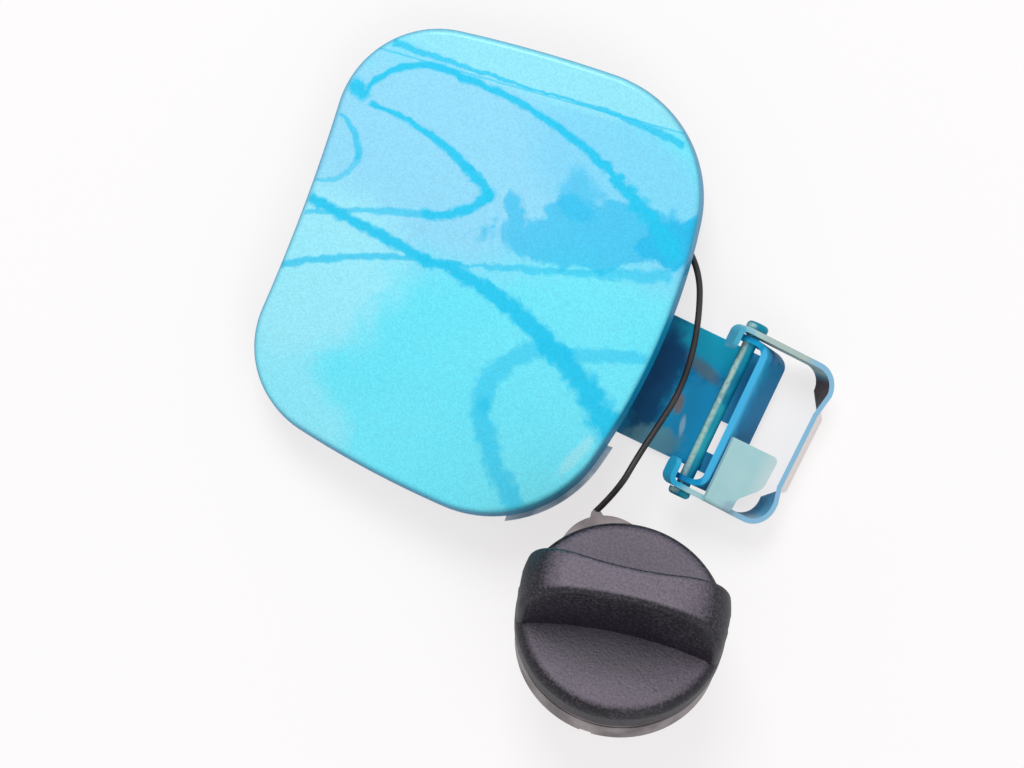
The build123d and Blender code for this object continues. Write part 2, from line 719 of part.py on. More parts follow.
def anchor_exit():
    """Point where the tether leaves its anchor, in the part's frame."""
    rim = ANCHOR_X + ANCHOR_D / 2 - CORD_SEAT
    return (FLAP_PLACE * Pos(rim, ANCHOR_Y, -TRAY_LEVEL - ANCHOR_T / 2)).position


def bend_radii(points):
    """Largest fair radius at each corner of a route: 0.45 of the shorter run."""
    radii = []
    for before, corner, after in zip(points, points[1:], points[2:]):
        run_in = corner - before
        run_out = after - corner
        turn = math.radians(run_in.get_angle(run_out))
        shorter = min(run_in.length, run_out.length)
        radii.append(0.45 * shorter / math.tan(turn / 2))
    return radii


def tether_cord():
    """Moulded tether between anchor and collar, as straight runs joined by tangent arcs."""
    points = [anchor_exit(), *[Vector(*p) for p in TETHER_ROUTE], tongue_tip()]
    radii = bend_radii(points)
    print("tether bend radii", [round(r, 1) for r in radii])
    path = FilletPolyline(*points, radius=radii)
    start = Plane(origin=path @ 0, z_dir=path % 0)
    cord = sweep(start * Circle(TETHER_D / 2), path=path)
    section = math.pi * TETHER_D ** 2 / 4
    print("tether length", round(path.length, 1), "volume", round(cord.volume, 1),
          "section times length", round(section * path.length, 1))
    return cord


# --- Cap: grip ------------------------------------------------------------------------------------------
def grip_base(wall):
    """Band, shoulder and finger floors as one solid of revolution; wall shrinks it all round."""
    hub = HUB_R if wall == 0 else HUB_R - HUB_T
    low = HUB_Z - wall
    shelf = BAND_Z + wall
    edge = HEAD_R - wall
    floor_r = FLOOR_R - wall
    mid = math.sqrt(0.5)
    return spun([
        Line((0, low), (hub, low)),
        Line((hub, low), (hub, shelf)),
        Line((hub, shelf), (edge, shelf)),
        Line((edge, shelf), (edge, BAND_TOP - wall)),
        ThreePointArc(
            (edge, BAND_TOP - wall),
            (floor_r + SHOULDER_W * mid, FLOOR_Z - wall - SHOULDER_H * (1 - mid)),
            (floor_r, FLOOR_Z - wall),
        ),
        Line((floor_r, FLOOR_Z - wall), (0, FLOOR_Z - wall)),
        Line((0, FLOOR_Z - wall), (0, low)),
    ])


def bar_dome(wall):
    """Round body that gives the bar its arched outline; wall shrinks it all round."""
    side = HEAD_R - BAR_SIDE_IN - wall
    low = (BAND_Z + BAND_TOP) / 2
    top = BAR_Z - wall
    half = polygon((0, low), (side, low), (side, top), (0, top))
    half = fillet(half.vertices().sort_by_distance((side, top, 0))[0], BAR_ROUND_R - wall)
    return revolve(Plane.XZ * half, Axis.Z)


def bar_sides(wall):
    """Drafted prism between the bar's two hollow sides."""
    half = BAR_HALF - wall
    end = half + BAR_FLARE
    reach = HEAD_R + BAR_BEYOND
    outline = make_face([
        ThreePointArc((-reach, -end), (0, -half), (reach, -end)),
        Line((reach, -end), (reach, end)),
        ThreePointArc((reach, end), (0, half), (-reach, end)),
        Line((-reach, end), (-reach, -end)),
    ])
    return Pos(0, 0, BAND_Z) * extrude(outline, BAR_H * 1.6, taper=BAR_DRAFT)


def cap_grip():
    """Moulded grip cover: band, finger floors and arched bar, hollow inside, with a centre socket."""
    bar = bar_dome(0) & bar_sides(0)
    sides = [f for f in bar.faces() if abs(f.center().Y) > BAR_HALF / 2 and abs(f.center().X) < 1]
    arch = [e for f in sides for e in f.edges() if e.center().Z > BAND_TOP]
    bar = fillet(arch, BAR_EDGE_R)
    shell = bar + grip_base(0) - (bar_dome(WALL) & bar_sides(WALL)) - grip_base(WALL)
    low = FLOOR_Z + WINDOW_RISE
    window = box_between(
        (HEAD_R - WINDOW_IN, -WINDOW_W / 2, low), (HEAD_R * 2, WINDOW_W / 2, low + WINDOW_H)
    )
    shell = shell - window - Rot(Z=180) * window
    bore = POST_R + PIVOT_FIT
    low = HUB_Z + SOCKET_RISE
    socket = ring(bore + SOCKET_T, bore, low, FLOOR_Z - WALL / 2 - low)
    return shell + socket


def cap_skirt_ring():
    """Lower ring of the head, snapped on the grip's hub; its lip holds the plug's flange."""
    wall = ring(SKIRT_R, SKIRT_R - SKIRT_T, SKIRT_Z, SKIRT_H)
    collar = ring(SKIRT_R - SKIRT_T, HUB_R, GROOVE_Z - LIP_RIM_H, LIP_RIM_H)
    lip = ring(SKIRT_R - SKIRT_T, LIP_R, SKIRT_Z, LIP_T)
    skirt = wall + collar + lip
    low_edge = skirt.edges().filter_by(GeomType.CIRCLE).group_by(Axis.Z)[0].sort_by(lambda e: -e.radius)
    skirt = chamfer(low_edge[0], SKIRT_CHAMFER)
    notch = Box(HEAD_R, NOTCH_W, NOTCH_H * 2, align=(Align.MIN, Align.CENTER, Align.CENTER))
    notch = Pos(SKIRT_R - NOTCH_DEPTH, 0, SKIRT_Z) * notch
    return skirt - turned(NOTCH_ANGLE) * notch


# --- Cap: ratchet ---------------------------------------------------------------------------------------
def ratchet_teeth():
    """Saw-toothed crown that stands on the plug's flange."""
    step = 360 / TOOTH_COUNT
    points = []
    for k in range(TOOTH_COUNT):
        points.append(polar(TOOTH_ROOT_R, k * step - TOOTH_RISE))
        points.append(polar(TOOTH_TIP_R, k * step))
    outline = polygon(*points) - Circle(TOOTH_ROOT_R - TOOTH_RING_T)
    return Pos(0, 0, FLANGE_TOP) * extrude(outline, GROOVE_Z - FLANGE_TOP)


def ratchet_ring():
    """Flexing ratchet: a rim in the grip's hub with curved arms that end in pawls."""
    rim_out = HUB_R - HUB_T
    rim_in = rim_out - RATCHET_RIM_T
    arm_out = TOOTH_TIP_R + FIT + PAWL_T
    outline = Circle(rim_out) - Circle(rim_in)
    for k in range(PAWL_COUNT):
        outline += turned(k * 360 / PAWL_COUNT) * pawl_outline(rim_in, arm_out)
    return Pos(0, 0, HUB_Z) * extrude(outline, GROOVE_Z - HUB_Z - FIT)


def pawl_outline(rim_in, arm_out):
    """One pawl seen along the axis: root on the rim, curved arm and hooked tip."""
    arm_in = arm_out - PAWL_T
    sector = polygon((0, 0), polar(FAR, 0), polar(FAR, PAWL_SWEEP / 2), polar(FAR, PAWL_SWEEP))
    arm = (Circle(arm_out) - Circle(arm_in)) & sector
    band = Circle(rim_in + 2 * PAWL_LAP) - Circle(arm_in)
    root = polygon((0, 0), polar(FAR, 0), polar(FAR, PAWL_ROOT)) & band
    hook = polygon(
        polar(arm_in + PAWL_LAP, PAWL_SWEEP),
        polar(arm_in + PAWL_LAP, PAWL_SWEEP - PAWL_HOOK),
        polar(arm_in - PAWL_TIP, PAWL_SWEEP - TOOTH_RISE / 2),
    )
    return arm + root + hook


# --- Cap: plug and valves -------------------------------------------------------------------------------
def plug_thread():
    """Coarse single thread around the plug."""
    inner = PLUG_R - THREAD_SEAT
    path = Pos(0, 0, THREAD_Z) * Helix(THREAD_PITCH, THREAD_PITCH * THREAD_TURNS, inner)
    start = Plane(origin=path @ 0, x_dir=(1, 0, 0), z_dir=path % 0)
    height = THREAD_SEAT + THREAD_H
    profile = polygon(
        (0, -THREAD_FOOT / 2), (height, -THREAD_CREST / 2), (height, THREAD_CREST / 2), (0, THREAD_FOOT / 2)
    )
    return sweep(start * profile, path=path, is_frenet=True)


def plug_body():
    """Closure body: threaded plug tube, sealing flange, ratchet crown and centre post."""
    tube = ring(PLUG_R, PLUG_BORE, 0, FLANGE_Z)
    tube = chamfer(tube.edges().group_by(Axis.Z)[0].sort_by(lambda e: e.radius)[0], PLUG_CHAMFER)
    tube += plug_thread()
    flange = disc(FLANGE_R, FLANGE_Z, FLANGE_T)
    post = disc(POST_R, FLANGE_TOP, POST_TOP)
    post = chamfer(post.edges().sort_by(Axis.Z)[-1], PLUG_CHAMFER)
    return tube + flange + post + ratchet_teeth()


def neck_gasket():
    """Flat rubber ring that seals the filler neck's rim under the flange."""
    gasket = ring(GASKET_R, PLUG_R, FLANGE_Z - GASKET_T, GASKET_T)
    rims = gasket.edges().group_by(Axis.Z)[0].sort_by(lambda e: -e.radius)
    return fillet(rims[0], GASKET_T * 0.4)


def valve_housing():
    """Cup pressed into the plug: its floor is the seat of the pressure valve."""
    cup = ring(PLUG_BORE, PLUG_BORE - HOUSING_T, SEAT_Z, HOUSING_TOP - SEAT_Z)
    seat = ring(PLUG_BORE, SEAT_HOLE_R, SEAT_Z, HOUSING_T)
    return cup + seat


SEAL_Z = SEAT_Z + HOUSING_T
PLATE_Z = SEAL_Z + SEAL_T + VALVE_GAP
PLATE_TOP = PLATE_Z + PLATE_T
STEM_CAP_Z = PLATE_TOP + VACUUM_SPRING_H + 2 * VALVE_GAP


def valve_seal():
    """Rubber seat ring on the housing's floor."""
    return ring(SEAL_R, SEAT_HOLE_R + FIT, SEAL_Z, SEAL_T)


def pressure_plate():
    """Pressure valve's plate, with a hole for the vacuum valve's stem."""
    plate = ring(PLATE_R, STEM_R + FIT, PLATE_Z, PLATE_T)
    rims = plate.edges().group_by(Axis.Z)[-1].sort_by(lambda e: -e.radius)
    return chamfer(rims[0], PLATE_CHAMFER)


def pressure_spring():
    """Coil spring between the plate and the plug's flange."""
    low = PLATE_TOP + VALVE_GAP
    return coil(PRESSURE_COIL_R, PRESSURE_WIRE, low, FLANGE_Z - VALVE_GAP - low, PRESSURE_TURNS)


def vacuum_valve():
    """Mushroom valve that hangs through the plate: disc, stem and spring cap."""
    disc_top = PLATE_Z - VALVE_GAP
    stem = disc(STEM_R, disc_top - VACUUM_DISC_T, STEM_CAP_Z + STEM_CAP_T - disc_top + VACUUM_DISC_T)
    foot = disc(VACUUM_DISC_R, disc_top - VACUUM_DISC_T, VACUUM_DISC_T)
    return stem + foot + disc(STEM_CAP_R, STEM_CAP_Z, STEM_CAP_T)


def vacuum_spring():
    """Small coil spring between the plate and the stem's cap."""
    low = PLATE_TOP + VALVE_GAP
    return coil(VACUUM_COIL_R, VACUUM_WIRE, low, VACUUM_SPRING_H, VACUUM_TURNS)


def valve_guard():
    """Slotted guard pressed into the plug's lower end."""
    guard = disc(PLUG_BORE, GUARD_Z, GUARD_T)
    slot = Pos(PLUG_BORE * 0.55, 0) * extrude(
        SlotOverall(PLUG_BORE * 0.6, GUARD_SLOT_W), GUARD_Z + 2 * GUARD_T
    )
    for k in range(GUARD_SLOTS):
        guard -= turned(k * 360 / GUARD_SLOTS) * slot
    return guard


# --- All pieces, in place -------------------------------------------------------------------------------
PIECES = {
    "outer_skin": (FLAP_PLACE, outer_skin),
    "inner_panel": (FLAP_PLACE, inner_panel),
    "hem_sealer": (FLAP_PLACE, hem_sealer),
    "latch_striker": (FLAP_PLACE, latch_striker),
    "bump_stops": (FLAP_PLACE, bump_stops),
    "hinge_arm": (ARM_PLACE, hinge_arm),
    "hinge_bracket": (BRACKET_PLACE, hinge_bracket),
    "hinge_pin": (BRACKET_PLACE, hinge_pin),
    "tether_anchor": (FLAP_PLACE, tether_anchor),
    "tether_cord": (Location(), tether_cord),
    "tether_collar": (COLLAR_PLACE, tether_collar),
    "cap_grip": (CAP_PLACE, cap_grip),
    "cap_skirt_ring": (CAP_PLACE, cap_skirt_ring),
    "ratchet_ring": (CAP_PLACE, ratchet_ring),
    "plug_body": (CAP_PLACE, plug_body),
    "neck_gasket": (CAP_PLACE, neck_gasket),
    "valve_housing": (CAP_PLACE, valve_housing),
    "valve_seal": (CAP_PLACE, valve_seal),
    "pressure_plate": (CAP_PLACE, pressure_plate),
    "pressure_spring": (CAP_PLACE, pressure_spring),
    "vacuum_valve": (CAP_PLACE, vacuum_valve),
    "vacuum_spring": (CAP_PLACE, vacuum_spring),
    "valve_guard": (CAP_PLACE, valve_guard),
}


def write_pieces():
    """Build every piece in its place and write one STEP file for each."""
    low = [math.inf] * 3
    high = [-math.inf] * 3
    for name, (place, build) in PIECES.items():
        solid = place * build()
        export_step(solid, f"parts/{name}.step")
        box = solid.bounding_box()
        low = [min(a, b) for a, b in zip(low, tuple(box.min))]
        high = [max(a, b) for a, b in zip(high, tuple(box.max))]
    print("low corner", [round(v, 2) for v in low], "high corner", [round(v, 2) for v in high])
    print("cap axis", CAP_PLACE.position, Plane(CAP_PLACE).z_dir)


write_pieces()
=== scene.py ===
"""Dress the fuel filler flap, its hinge, bracket, tether and screw cap, and set up the studio.

The frame has +Z up, the hinge pin along Y and the flap panel towards -X. Values whose names end
in _mm are millimetres, and all other lengths are metres.
"""

import logging
import math
from dataclasses import dataclass
from enum import Enum
from typing import Any, Mapping

import bmesh
import bpy
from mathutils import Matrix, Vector


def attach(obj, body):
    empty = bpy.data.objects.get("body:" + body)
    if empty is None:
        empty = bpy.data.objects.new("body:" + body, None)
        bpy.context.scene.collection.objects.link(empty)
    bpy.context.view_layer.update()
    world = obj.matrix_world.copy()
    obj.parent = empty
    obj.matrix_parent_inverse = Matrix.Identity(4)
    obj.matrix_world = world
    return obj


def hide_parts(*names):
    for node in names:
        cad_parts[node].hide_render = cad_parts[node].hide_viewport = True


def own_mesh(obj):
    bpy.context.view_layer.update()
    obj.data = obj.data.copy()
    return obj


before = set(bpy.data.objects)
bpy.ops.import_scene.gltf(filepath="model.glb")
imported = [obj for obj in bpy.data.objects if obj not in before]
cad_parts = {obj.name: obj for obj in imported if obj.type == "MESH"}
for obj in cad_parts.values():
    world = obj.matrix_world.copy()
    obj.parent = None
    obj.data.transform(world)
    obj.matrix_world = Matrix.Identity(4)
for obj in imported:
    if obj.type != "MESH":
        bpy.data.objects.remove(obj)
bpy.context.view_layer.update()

MM = 0.001
LOG = logging.getLogger("fuel_filler_flap")

SRGB_KNEE = 0.04045
SRGB_SLOPE = 12.92
SRGB_LIFT = 0.055
SRGB_POWER = 2.4

Tree = bpy.types.NodeTree
Socket = bpy.types.NodeSocket
Pair = tuple[float, float]
Way = tuple[float, float, float]
Colour = tuple[float, float, float, float]

ALONG_X = (1.0, 0.0, 0.0)
ALONG_Y = (0.0, 1.0, 0.0)
UP = (0.0, 0.0, 1.0)
LEVEL = (1.0, 1.0, 0.0)  # what is left of a place when its height is dropped


def linear(hex_code: str) -> Colour:
    """Turn an sRGB hex colour into linear light.

    Args:
        hex_code: Colour as "#RRGGBB".

    Returns:
        Red, green and blue from 0 to 1, and an alpha of 1.
    """
    channels = []
    for start in (1, 3, 5):
        value = int(hex_code[start:start + 2], 16) / 255
        if value <= SRGB_KNEE:
            channels.append(value / SRGB_SLOPE)
        else:
            channels.append(((value + SRGB_LIFT) / (1 + SRGB_LIFT)) ** SRGB_POWER)
    return (*channels, 1.0)


def add_node(
    tree: Tree, kind: str, inputs: Mapping[Any, Any] | None = None, **settings: Any
) -> bpy.types.Node:
    """Add a node with its settings and links.

    Args:
        tree: Node tree that gets the node.
        kind: Blender's type name of the node.
        inputs: Socket name or number to a value, or to an output socket that feeds it.
        **settings: Properties of the node itself.

    Returns:
        The new node.
    """
    node = tree.nodes.new(kind)
    for name, value in settings.items():
        setattr(node, name, value)
    for key, value in (inputs or {}).items():
        if isinstance(value, Socket):
            tree.links.new(value, node.inputs[key])
        else:
            node.inputs[key].default_value = value
    return node


def add_object(name: str, data: bpy.types.ID) -> bpy.types.Object:
    """Put new data into the scene as an object.

    Args:
        name: Name of the object.
        data: Its mesh, curve, lamp or camera.

    Returns:
        The new object.
    """
    item = bpy.data.objects.new(name, data)
    bpy.context.scene.collection.objects.link(item)
    return item


def millimetres(tree: Tree) -> Socket:
    """Measure the object's own coordinates in millimetres.

    Args:
        tree: Node tree of the material.

    Returns:
        The socket that gives the place.
    """
    own = add_node(tree, "ShaderNodeTexCoord").outputs["Object"]
    return add_node(
        tree, "ShaderNodeVectorMath", {0: own, 1: (1 / MM, 1 / MM, 1 / MM)}, operation="MULTIPLY"
    ).outputs[0]


class Body(Enum):
    """Bodies of the frame that new pieces ride on."""

    FLAP = "flap"
    PLUG = "plug"
    PRESSURE_VALVE = "pressure_valve"


class SpringEnd(Enum):
    """Ends of a valve spring along the cap's axis."""

    LOWER = "lower"
    UPPER = "upper"


# --- Patterns -----------------------------------------------------------------------------------
@dataclass(frozen=True)
class Fade:
    """Change from one value to another while a measure goes from its start to its end."""

    start: float
    end: float
    low: float = 0.0
    high: float = 1.0

    def of(self, measure: Socket) -> dict[str, Any]:
        """Give the inputs that fade by a measure."""
        return {
            "Value": measure, "From Min": self.start, "From Max": self.end,
            "To Min": self.low, "To Max": self.high,
        }


@dataclass(frozen=True)
class Clouds:
    """Cloudy pattern, given by the size of its largest clouds."""

    size_mm: float
    detail: float = 4.0
    twist: float = 0.0

    def at(self, place: Socket) -> dict[str, Any]:
        """Give the inputs that make the clouds at a place in millimetres."""
        return {
            "Vector": place, "Scale": 1 / self.size_mm,
            "Detail": self.detail, "Distortion": self.twist,
        }


@dataclass(frozen=True)
class Zone:
    """Part of a surface that starts softly along one way.

    What is measured along the way is a place in millimetres or the way that a face points.
    """

    way: Way
    fade: Fade

    def share(self, tree: Tree, vector: Socket) -> Socket:
        """Find how much of the zone shows.

        Args:
            tree: Node tree of the material.
            vector: Place or face normal.

        Returns:
            A value within the limits of the fade.
        """
        along = add_node(
            tree, "ShaderNodeVectorMath", {0: vector, 1: self.way}, operation="DOT_PRODUCT"
        )
        return add_node(
            tree, "ShaderNodeMapRange", self.fade.of(along.outputs["Value"])
        ).outputs["Result"]


@dataclass(frozen=True)
class Patch:
    """An oval patch of another colour on a sheet, seen from above, with a ragged edge."""

    centre_mm: Pair
    half_mm: Pair
    colour: str
    turn_deg: float = 0.0
    strength: float = 0.8
    edge: float = 0.25  # half width of the soft edge, as a share of the patch
    ragged: float = 1.2

    def lay(self, tree: Tree, flat: Socket, rough: Socket, under: Socket) -> Socket:
        """Lay the patch over a colour.

        Args:
            tree: Node tree of the material.
            flat: Place seen from above, in millimetres.
            rough: Noise that makes the edge ragged.
            under: Colour that the patch lies on.

        Returns:
            The new colour's socket.
        """
        own = add_node(
            tree, "ShaderNodeMapping",
            {
                "Vector": flat,
                "Location": (*self.centre_mm, 0.0),
                "Rotation": (0.0, 0.0, math.radians(self.turn_deg)),
                "Scale": (*self.half_mm, 1.0),
            },
            vector_type="TEXTURE",
        )
        out = add_node(tree, "ShaderNodeVectorMath", {0: own.outputs[0]}, operation="LENGTH")
        shaken = add_node(
            tree, "ShaderNodeMath", {0: rough, 1: self.ragged, 2: out.outputs["Value"]},
            operation="MULTIPLY_ADD",
        )
        middle = 1.0 + self.ragged / 2
        fade = Fade(middle - self.edge, middle + self.edge, self.strength, 0.0)
        share = add_node(
            tree, "ShaderNodeMapRange", fade.of(shaken.outputs[0]),
            interpolation_type="SMOOTHSTEP",
        )
        return add_node(
            tree, "ShaderNodeMix",
            {"Factor": share.outputs["Result"], "A": under, "B": linear(self.colour)},
            data_type="RGBA",
        ).outputs["Result"]


def patched(
    tree: Tree, place: Socket, rough: Socket, patches: tuple[Patch, ...], colour: Socket
) -> Socket:
    """Lay patches over a colour one after another.

    Args:
        tree: Node tree of the material.
        place: Place in millimetres.
        rough: Noise that makes the patches' edges ragged.
        patches: Patches, from the lowest to the top one.
        colour: Colour that they lie on.

    Returns:
        The new colour's socket.
    """
    if not patches:
        return colour
    flat = add_node(tree, "ShaderNodeVectorMath", {0: place, 1: LEVEL}, operation="MULTIPLY")
    for patch in patches:
        colour = patch.lay(tree, flat.outputs[0], rough, colour)
    return colour


@dataclass(frozen=True)
class PaintedReflectionLine:
    """A curved line where the painted reflection on the paint breaks: an arc through three points
    from above.
    """

    start_mm: Pair
    middle_mm: Pair
    end_mm: Pair
    widths_mm: Pair
    strength: float = 0.8
    sharp_to: float = 0.25  # share of the half width at which the edge starts to fade
    gone_at: float = 0.75
    run_out: float = 0.4  # how far the ends fade, as a share of the larger width

    def circle(self) -> tuple[Pair, float]:
        """Find the circle through the three points.

        Returns:
            Its centre and its radius.
        """
        (ax, ay), (bx, by), (cx, cy) = self.start_mm, self.middle_mm, self.end_mm
        twice_area = 2 * (ax * (by - cy) + bx * (cy - ay) + cx * (ay - by))
        a_square, b_square, c_square = ax * ax + ay * ay, bx * bx + by * by, cx * cx + cy * cy
        x = (a_square * (by - cy) + b_square * (cy - ay) + c_square * (ay - by)) / twice_area
        y = (a_square * (cx - bx) + b_square * (ax - cx) + c_square * (bx - ax)) / twice_area
        return (x, y), math.dist((x, y), self.start_mm)

    def share(self, tree: Tree, flat: Socket, rough: Socket) -> Socket:
        """Find how much of the mark shows.

        Args:
            tree: Node tree of the material.
            flat: Place seen from above, in millimetres.
            rough: Noise that shakes the mark's edges.

        Returns:
            A value from 0 off the mark to its strength on it.
        """
        centre, radius = self.circle()
        start, end = Vector(self.start_mm), Vector(self.end_mm)
        along, half = (end - start).normalized(), (end - start).length / 2
        middle = (start + end) / 2
        centre_run = middle.dot(along)
        widest = max(self.widths_mm)
        gap = add_node(
            tree, "ShaderNodeVectorMath", {0: flat, 1: (*centre, 0.0)}, operation="DISTANCE"
        )
        shaken = add_node(
            tree, "ShaderNodeMath", {0: rough, 1: widest, 2: gap.outputs["Value"]},
            operation="MULTIPLY_ADD",
        )
        off = add_node(
            tree, "ShaderNodeMath", {0: shaken.outputs[0], 1: radius + widest / 2},
            operation="SUBTRACT",
        )
        away = add_node(tree, "ShaderNodeMath", {0: off.outputs[0]}, operation="ABSOLUTE")
        run = add_node(
            tree, "ShaderNodeVectorMath", {0: flat, 1: (*along, 0.0)}, operation="DOT_PRODUCT"
        )
        widening = Fade(centre_run - half, centre_run + half, *self.widths_mm)
        width = add_node(tree, "ShaderNodeMapRange", widening.of(run.outputs["Value"]))
        ratio = add_node(
            tree, "ShaderNodeMath", {0: away.outputs[0], 1: width.outputs[0]}, operation="DIVIDE"
        )
        line = add_node(
            tree, "ShaderNodeMapRange",
            Fade(self.sharp_to, self.gone_at, self.strength, 0.0).of(ratio.outputs[0]),
            interpolation_type="SMOOTHSTEP",
        )
        from_middle = add_node(
            tree, "ShaderNodeVectorMath", {0: flat, 1: (*middle, 0.0)}, operation="DISTANCE"
        )
        ends = add_node(
            tree, "ShaderNodeMapRange",
            Fade(half, half + widest * self.run_out, 1.0, 0.0).of(from_middle.outputs["Value"]),
        )
        return add_node(
            tree, "ShaderNodeMath", {0: line.outputs[0], 1: ends.outputs[0]}, operation="MULTIPLY"
        ).outputs[0]


# --- Finishes -----------------------------------------------------------------------------------
@dataclass(frozen=True)
class Finish:
    """A surface finish that makes one node material."""

    name: str

    def shade(self, tree: Tree) -> Socket:
        """Build the shader.

        Args:
            tree: Node tree of the material.

        Returns:
            The shader's output socket.
        """
        raise NotImplementedError

    def material(self) -> bpy.types.Material:
        """Make the material.

        Returns:
            The new material with this finish.
        """
        made = bpy.data.materials.new(self.name)
        made.use_nodes = True
        tree = made.node_tree
        tree.nodes.clear()
        add_node(tree, "ShaderNodeOutputMaterial", {"Surface": self.shade(tree)})
        return made


@dataclass(frozen=True)
class MetallicClearcoat(Finish):
    """Acrylic base coat with aluminium flake under a clear coat, sprayed and polished.

    The eye sees a bright body colour with a fine sparkle and a sharp gloss on top. Side and
    downward faces round the hem are painted deep blue as painted shade. Pale patches are a
    painted reflection of white light in the clear coat, and curved lines where that painted
    reflection breaks show a deeper tone.
    """

    body: str = "#6AEAFF"
    light: str = "#88F2FF"
    # The next colour shows along the painted reflection lines, where the painted reflection breaks.
    deeper_tone: str = "#0CCAF4"
    # Painted shade: side and downward faces round the hem are painted this deep blue.
    hem: str = "#0092BE"
    patches: tuple[Patch, ...] = ()
    reflection_lines: tuple[PaintedReflectionLine, ...] = ()
    drift: Clouds = Clouds(70.0, 3.0)  # slow change from one pass of the spray gun to the next
    drift_share: Fade = Fade(0.35, 0.65, 0.0, 0.35)
    patch_edges: Clouds = Clouds(14.0, 10.0, 0.9)  # edges of the painted reflection's patches
    shake: Clouds = Clouds(4.0, 8.0)  # edges of the painted reflection lines
    hem_turn: Fade = Fade(0.3, 0.95, 1.0, 0.0)  # painted shade, from side and downward faces to faces that point up
    flake_mm: float = 0.5  # real flake is 0.03 mm, drawn coarser so that it shows
    sparkle: Fade = Fade(0.0, 1.0, 0.87, 1.01)
    peel: Clouds = Clouds(1.8, 1.0)  # orange peel of the clear coat
    peel_depth_mm: float = 0.05
    peel_strength: float = 0.05

    def shade(self, tree: Tree) -> Socket:
        """Layer body colour, painted reflection, painted hem shade and flake under the clear coat.

        Args:
            tree: Node tree of the material.

        Returns:
            The shader's output socket.
        """
        place = millimetres(tree)
        drift = add_node(tree, "ShaderNodeTexNoise", self.drift.at(place))
        share = add_node(tree, "ShaderNodeMapRange", self.drift_share.of(drift.outputs[0]))
        colour = add_node(
            tree, "ShaderNodeMix",
            {"Factor": share.outputs[0], "A": linear(self.body), "B": linear(self.light)},
            data_type="RGBA",
        ).outputs["Result"]
        # Painted reflection: pale patches of reflected white light over the body colour.
        patch_edges = add_node(tree, "ShaderNodeTexNoise", self.patch_edges.at(place)).outputs[0]
        colour = patched(tree, place, patch_edges, self.patches, colour)
        shake = add_node(tree, "ShaderNodeTexNoise", self.shake.at(place)).outputs[0]
        flat = add_node(
            tree, "ShaderNodeVectorMath", {0: place, 1: LEVEL}, operation="MULTIPLY"
        ).outputs[0]
        # Painted reflection: curved lines where the reflected white light breaks.
        for mark in self.reflection_lines:
            colour = add_node(
                tree, "ShaderNodeMix",
                {"Factor": mark.share(tree, flat, shake), "A": colour, "B": linear(self.deeper_tone)},
                data_type="RGBA",
            ).outputs["Result"]
        # Painted shade: side and downward faces round the hem turn deep blue.
        normal = add_node(tree, "ShaderNodeTexCoord").outputs["Normal"]
        facing = add_node(tree, "ShaderNodeSeparateXYZ", {0: normal}).outputs["Z"]
        hem = add_node(tree, "ShaderNodeMapRange", self.hem_turn.of(facing)).outputs[0]
        colour = add_node(
            tree, "ShaderNodeMix", {"Factor": hem, "A": colour, "B": linear(self.hem)},
            data_type="RGBA",
        ).outputs["Result"]
        flakes = add_node(
            tree, "ShaderNodeTexVoronoi", {"Vector": place, "Scale": 1 / self.flake_mm}
        )
        spark = add_node(tree, "ShaderNodeSeparateXYZ", {0: flakes.outputs["Color"]})
        gain = add_node(tree, "ShaderNodeMapRange", self.sparkle.of(spark.outputs["X"]))
        colour = add_node(
            tree, "ShaderNodeVectorMath", {0: colour, "Scale": gain.outputs[0]}, operation="SCALE"
        ).outputs[0]
        peel = add_node(tree, "ShaderNodeTexNoise", self.peel.at(place)).outputs[0]
        bump = add_node(
            tree, "ShaderNodeBump",
            {"Strength": self.peel_strength, "Distance": self.peel_depth_mm * MM, "Height": peel},
        )
        return add_node(
            tree, "ShaderNodeBsdfPrincipled",
            {
                "Base Color": colour,
                "Metallic": 0.1,
                "Roughness": 0.45,
                "Specular IOR Level": 0.2,
                "Coat Weight": 0.2,
                "Coat Roughness": 0.06,
                "Coat IOR": 1.5,
                "Normal": bump.outputs[0],
            },
        ).outputs[0]


